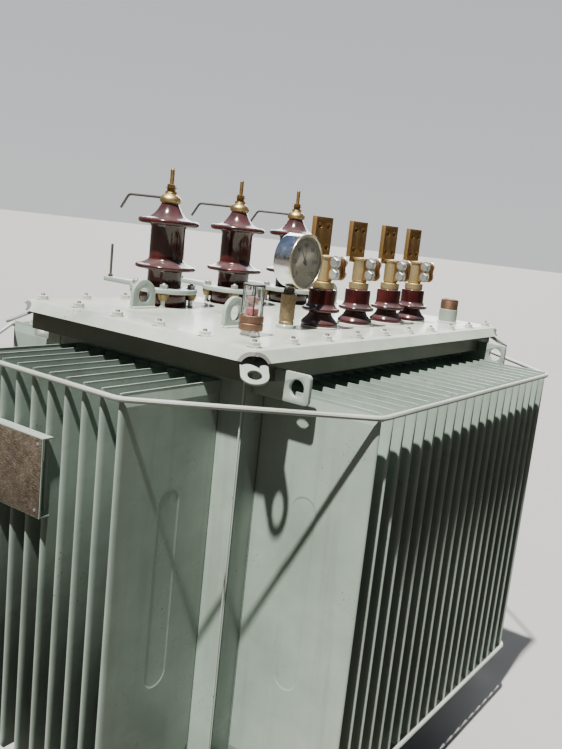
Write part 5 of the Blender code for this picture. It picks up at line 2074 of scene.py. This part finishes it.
@dataclass(frozen=True)
class Studio:
    """Floor, light and the camera at the photo's viewing angle."""

    photo_height: float = 749.0
    focal_pixels: float = 800.72
    centre_x: float = 323.22
    centre_y: float = 375.01
    half_width: float = 281.0
    eye: Point = (-1.6089, -1.1523, 1.2296)
    forward: Point = (0.82579906, 0.53491164, -0.17867695)
    upward: Point = (0.08640345, 0.1930819, 0.97737087)
    sun_way: Point = (0.450, 0.031, -1.0)
    sun_size: float = 1.6
    sun_power: float = 11.2
    sun_colour: Colour = (1.0, 0.965, 0.90)
    sky_power: float = 0.11
    gloss_power: float = 0.42
    fill_way: Point = (-0.75, -0.45, -0.30)
    fill_size: float = 40.0
    fill_power: float = 2.2
    floor_radius: float = 60.0
    sensor: float = 36.0
    reach: tuple[float, float] = (0.01, 200.0)

    def floor(self) -> None:
        """A wide pale floor, darker for all but the camera's rays, so that little light comes from below."""
        Bench.clear()
        bpy.ops.mesh.primitive_circle_add(vertices=FINE, radius=self.floor_radius, fill_type="NGON")
        floor = Bench.settle(bpy.context.object, "studio_floor", None)
        mix = Recipe("studio_floor")
        tone = mix.mix(mix.noise(1.5, 4.0, 0.6), (0.046, 0.038, 0.030), (0.053, 0.044, 0.034))
        pale = mix.mix(mix.noise(1.5, 4.0, 0.6), (0.33, 0.33, 0.325), (0.36, 0.36, 0.355))
        tone = mix.mix(mix.put("ShaderNodeLightPath", {}, "Is Camera Ray"), tone, pale)
        floor.data.materials.append(mix.done(tone, mix.span(mix.noise(9.0), 0.3, 0.7, 0.75, 0.9)))

    def sky(self) -> None:
        """Pale surroundings, bluer above, with a dark band behind the camera for chrome and glaze."""
        world = bpy.data.worlds.new("studio")
        bpy.context.scene.world = world
        world.use_nodes = True
        mix = Recipe.of(world.node_tree)
        way = mix.put("ShaderNodeTexCoord", {}, "Generated")
        level = mix.put("ShaderNodeSeparateXYZ", {"Vector": way}, "Z")
        above = mix.mix(mix.span(level, 0.0, 0.35), (0.58, 0.50, 0.42), (0.33, 0.42, 0.56))
        above = mix.mix(mix.span(level, 0.35, 1.0), above, (0.12, 0.24, 0.58))
        behind = (-self.forward[0], -self.forward[1], 0.0)
        facing = mix.put("ShaderNodeVectorMath", {0: way, 1: behind}, "Value", operation="DOT_PRODUCT")
        band = mix.sums("MULTIPLY", mix.span(facing, -0.45, 0.2), mix.span(level, 0.34, 0.16))
        above = mix.mix(mix.sums("MULTIPLY", band, 0.92), above, (0.035, 0.030, 0.027))
        seen = mix.put("ShaderNodeLightPath", {}, "Is Camera Ray")
        backdrop = mix.mix(mix.span(level, 0.0, 0.6), (0.74, 0.75, 0.76), (0.46, 0.50, 0.56))
        filled = mix.put("ShaderNodeLightPath", {}, "Is Diffuse Ray")
        power = mix.span(filled, 0.0, 1.0, self.gloss_power, self.sky_power)
        shown = mix.mix(seen, mix.mix(power, (0.0, 0.0, 0.0), above), backdrop)
        ground = world.node_tree.nodes["Background"]
        world.node_tree.links.new(shown, ground.inputs["Color"])
        ground.inputs["Strength"].default_value = 1.0

    @staticmethod
    def light(name: str, power: float, size: float, way: Point, colour: Colour = (1.0, 1.0, 1.0)) -> None:
        """Set up one distant light.

        Args:
            name: The light's name.
            power: Its strength.
            size: Its width in degrees, as seen from the object.
            way: The direction that it shines in.
            colour: Its colour.
        """
        lamp = bpy.data.lights.new(name, "SUN")
        lamp.energy, lamp.angle, lamp.color = power, math.radians(size), colour
        obj = bpy.data.objects.new(name, lamp)
        bpy.context.scene.collection.objects.link(obj)
        obj.rotation_euler = Vector(way).to_track_quat("-Z", "Y").to_euler()

    def lights(self) -> None:
        """The key light from the photo's sun, and a weak one for the sides that it doesn't show."""
        self.light("key", self.sun_power, self.sun_size, self.sun_way, self.sun_colour)
        self.light("fill", self.fill_power, self.fill_size, self.fill_way)

    def camera(self) -> None:
        """The camera where the photo was taken."""
        data = bpy.data.cameras.new("photo_view")
        obj = bpy.data.objects.new("photo_view", data)
        bpy.context.scene.collection.objects.link(obj)
        forward = Vector(self.forward).normalized()
        right = forward.cross(Vector(self.upward)).normalized()
        upward = right.cross(forward)
        turn = Matrix((right, upward, -forward)).transposed().to_4x4()
        turn.translation = Vector(self.eye)
        obj.matrix_world = turn
        data.sensor_width = self.sensor
        data.lens = self.focal_pixels / self.photo_height * data.sensor_width
        data.shift_x = -(self.centre_x - self.half_width) / self.photo_height
        data.shift_y = (self.centre_y - self.photo_height / 2) / self.photo_height
        data.clip_start, data.clip_end = self.reach
        bpy.context.scene.camera = obj

    def build(self) -> None:
        """Set up the studio."""
        self.camera()
        self.floor()
        self.sky()
        self.lights()


def main() -> None:
    """Build the transformer's sub-assemblies in order and report each one."""
    logging.basicConfig(level=logging.INFO, format="%(name)s: %(message)s")
    finishes = Finishes()
    Studio().build()
    parts: list[Assembly] = [Tank(finishes), Cover(finishes)]
    walls = ((Toward.FRONT, 20), (Toward.REAR, 20), (Toward.LEFT, 10), (Toward.RIGHT, 10))
    for outward, count in walls:
        node = f"{outward.name.lower()}_fin_wall"
        parts.append(FinWall(finishes, node=node, outward=outward, count=count))
    parts += [TieRods(finishes), LiftingGear(finishes)]
    parts += [HighVoltageBushing(finishes, number=i) for i in (1, 2, 3)]
    parts += [LowVoltageBushing(finishes, number=i) for i in (1, 2, 3, 4)]
    parts += [DialThermometer(finishes), OilGauge(finishes), FillerPipe(finishes), RatingPlate(finishes)]
    for part in parts:
        part.build()
        part.report()


if __name__ == "__main__":
    main()
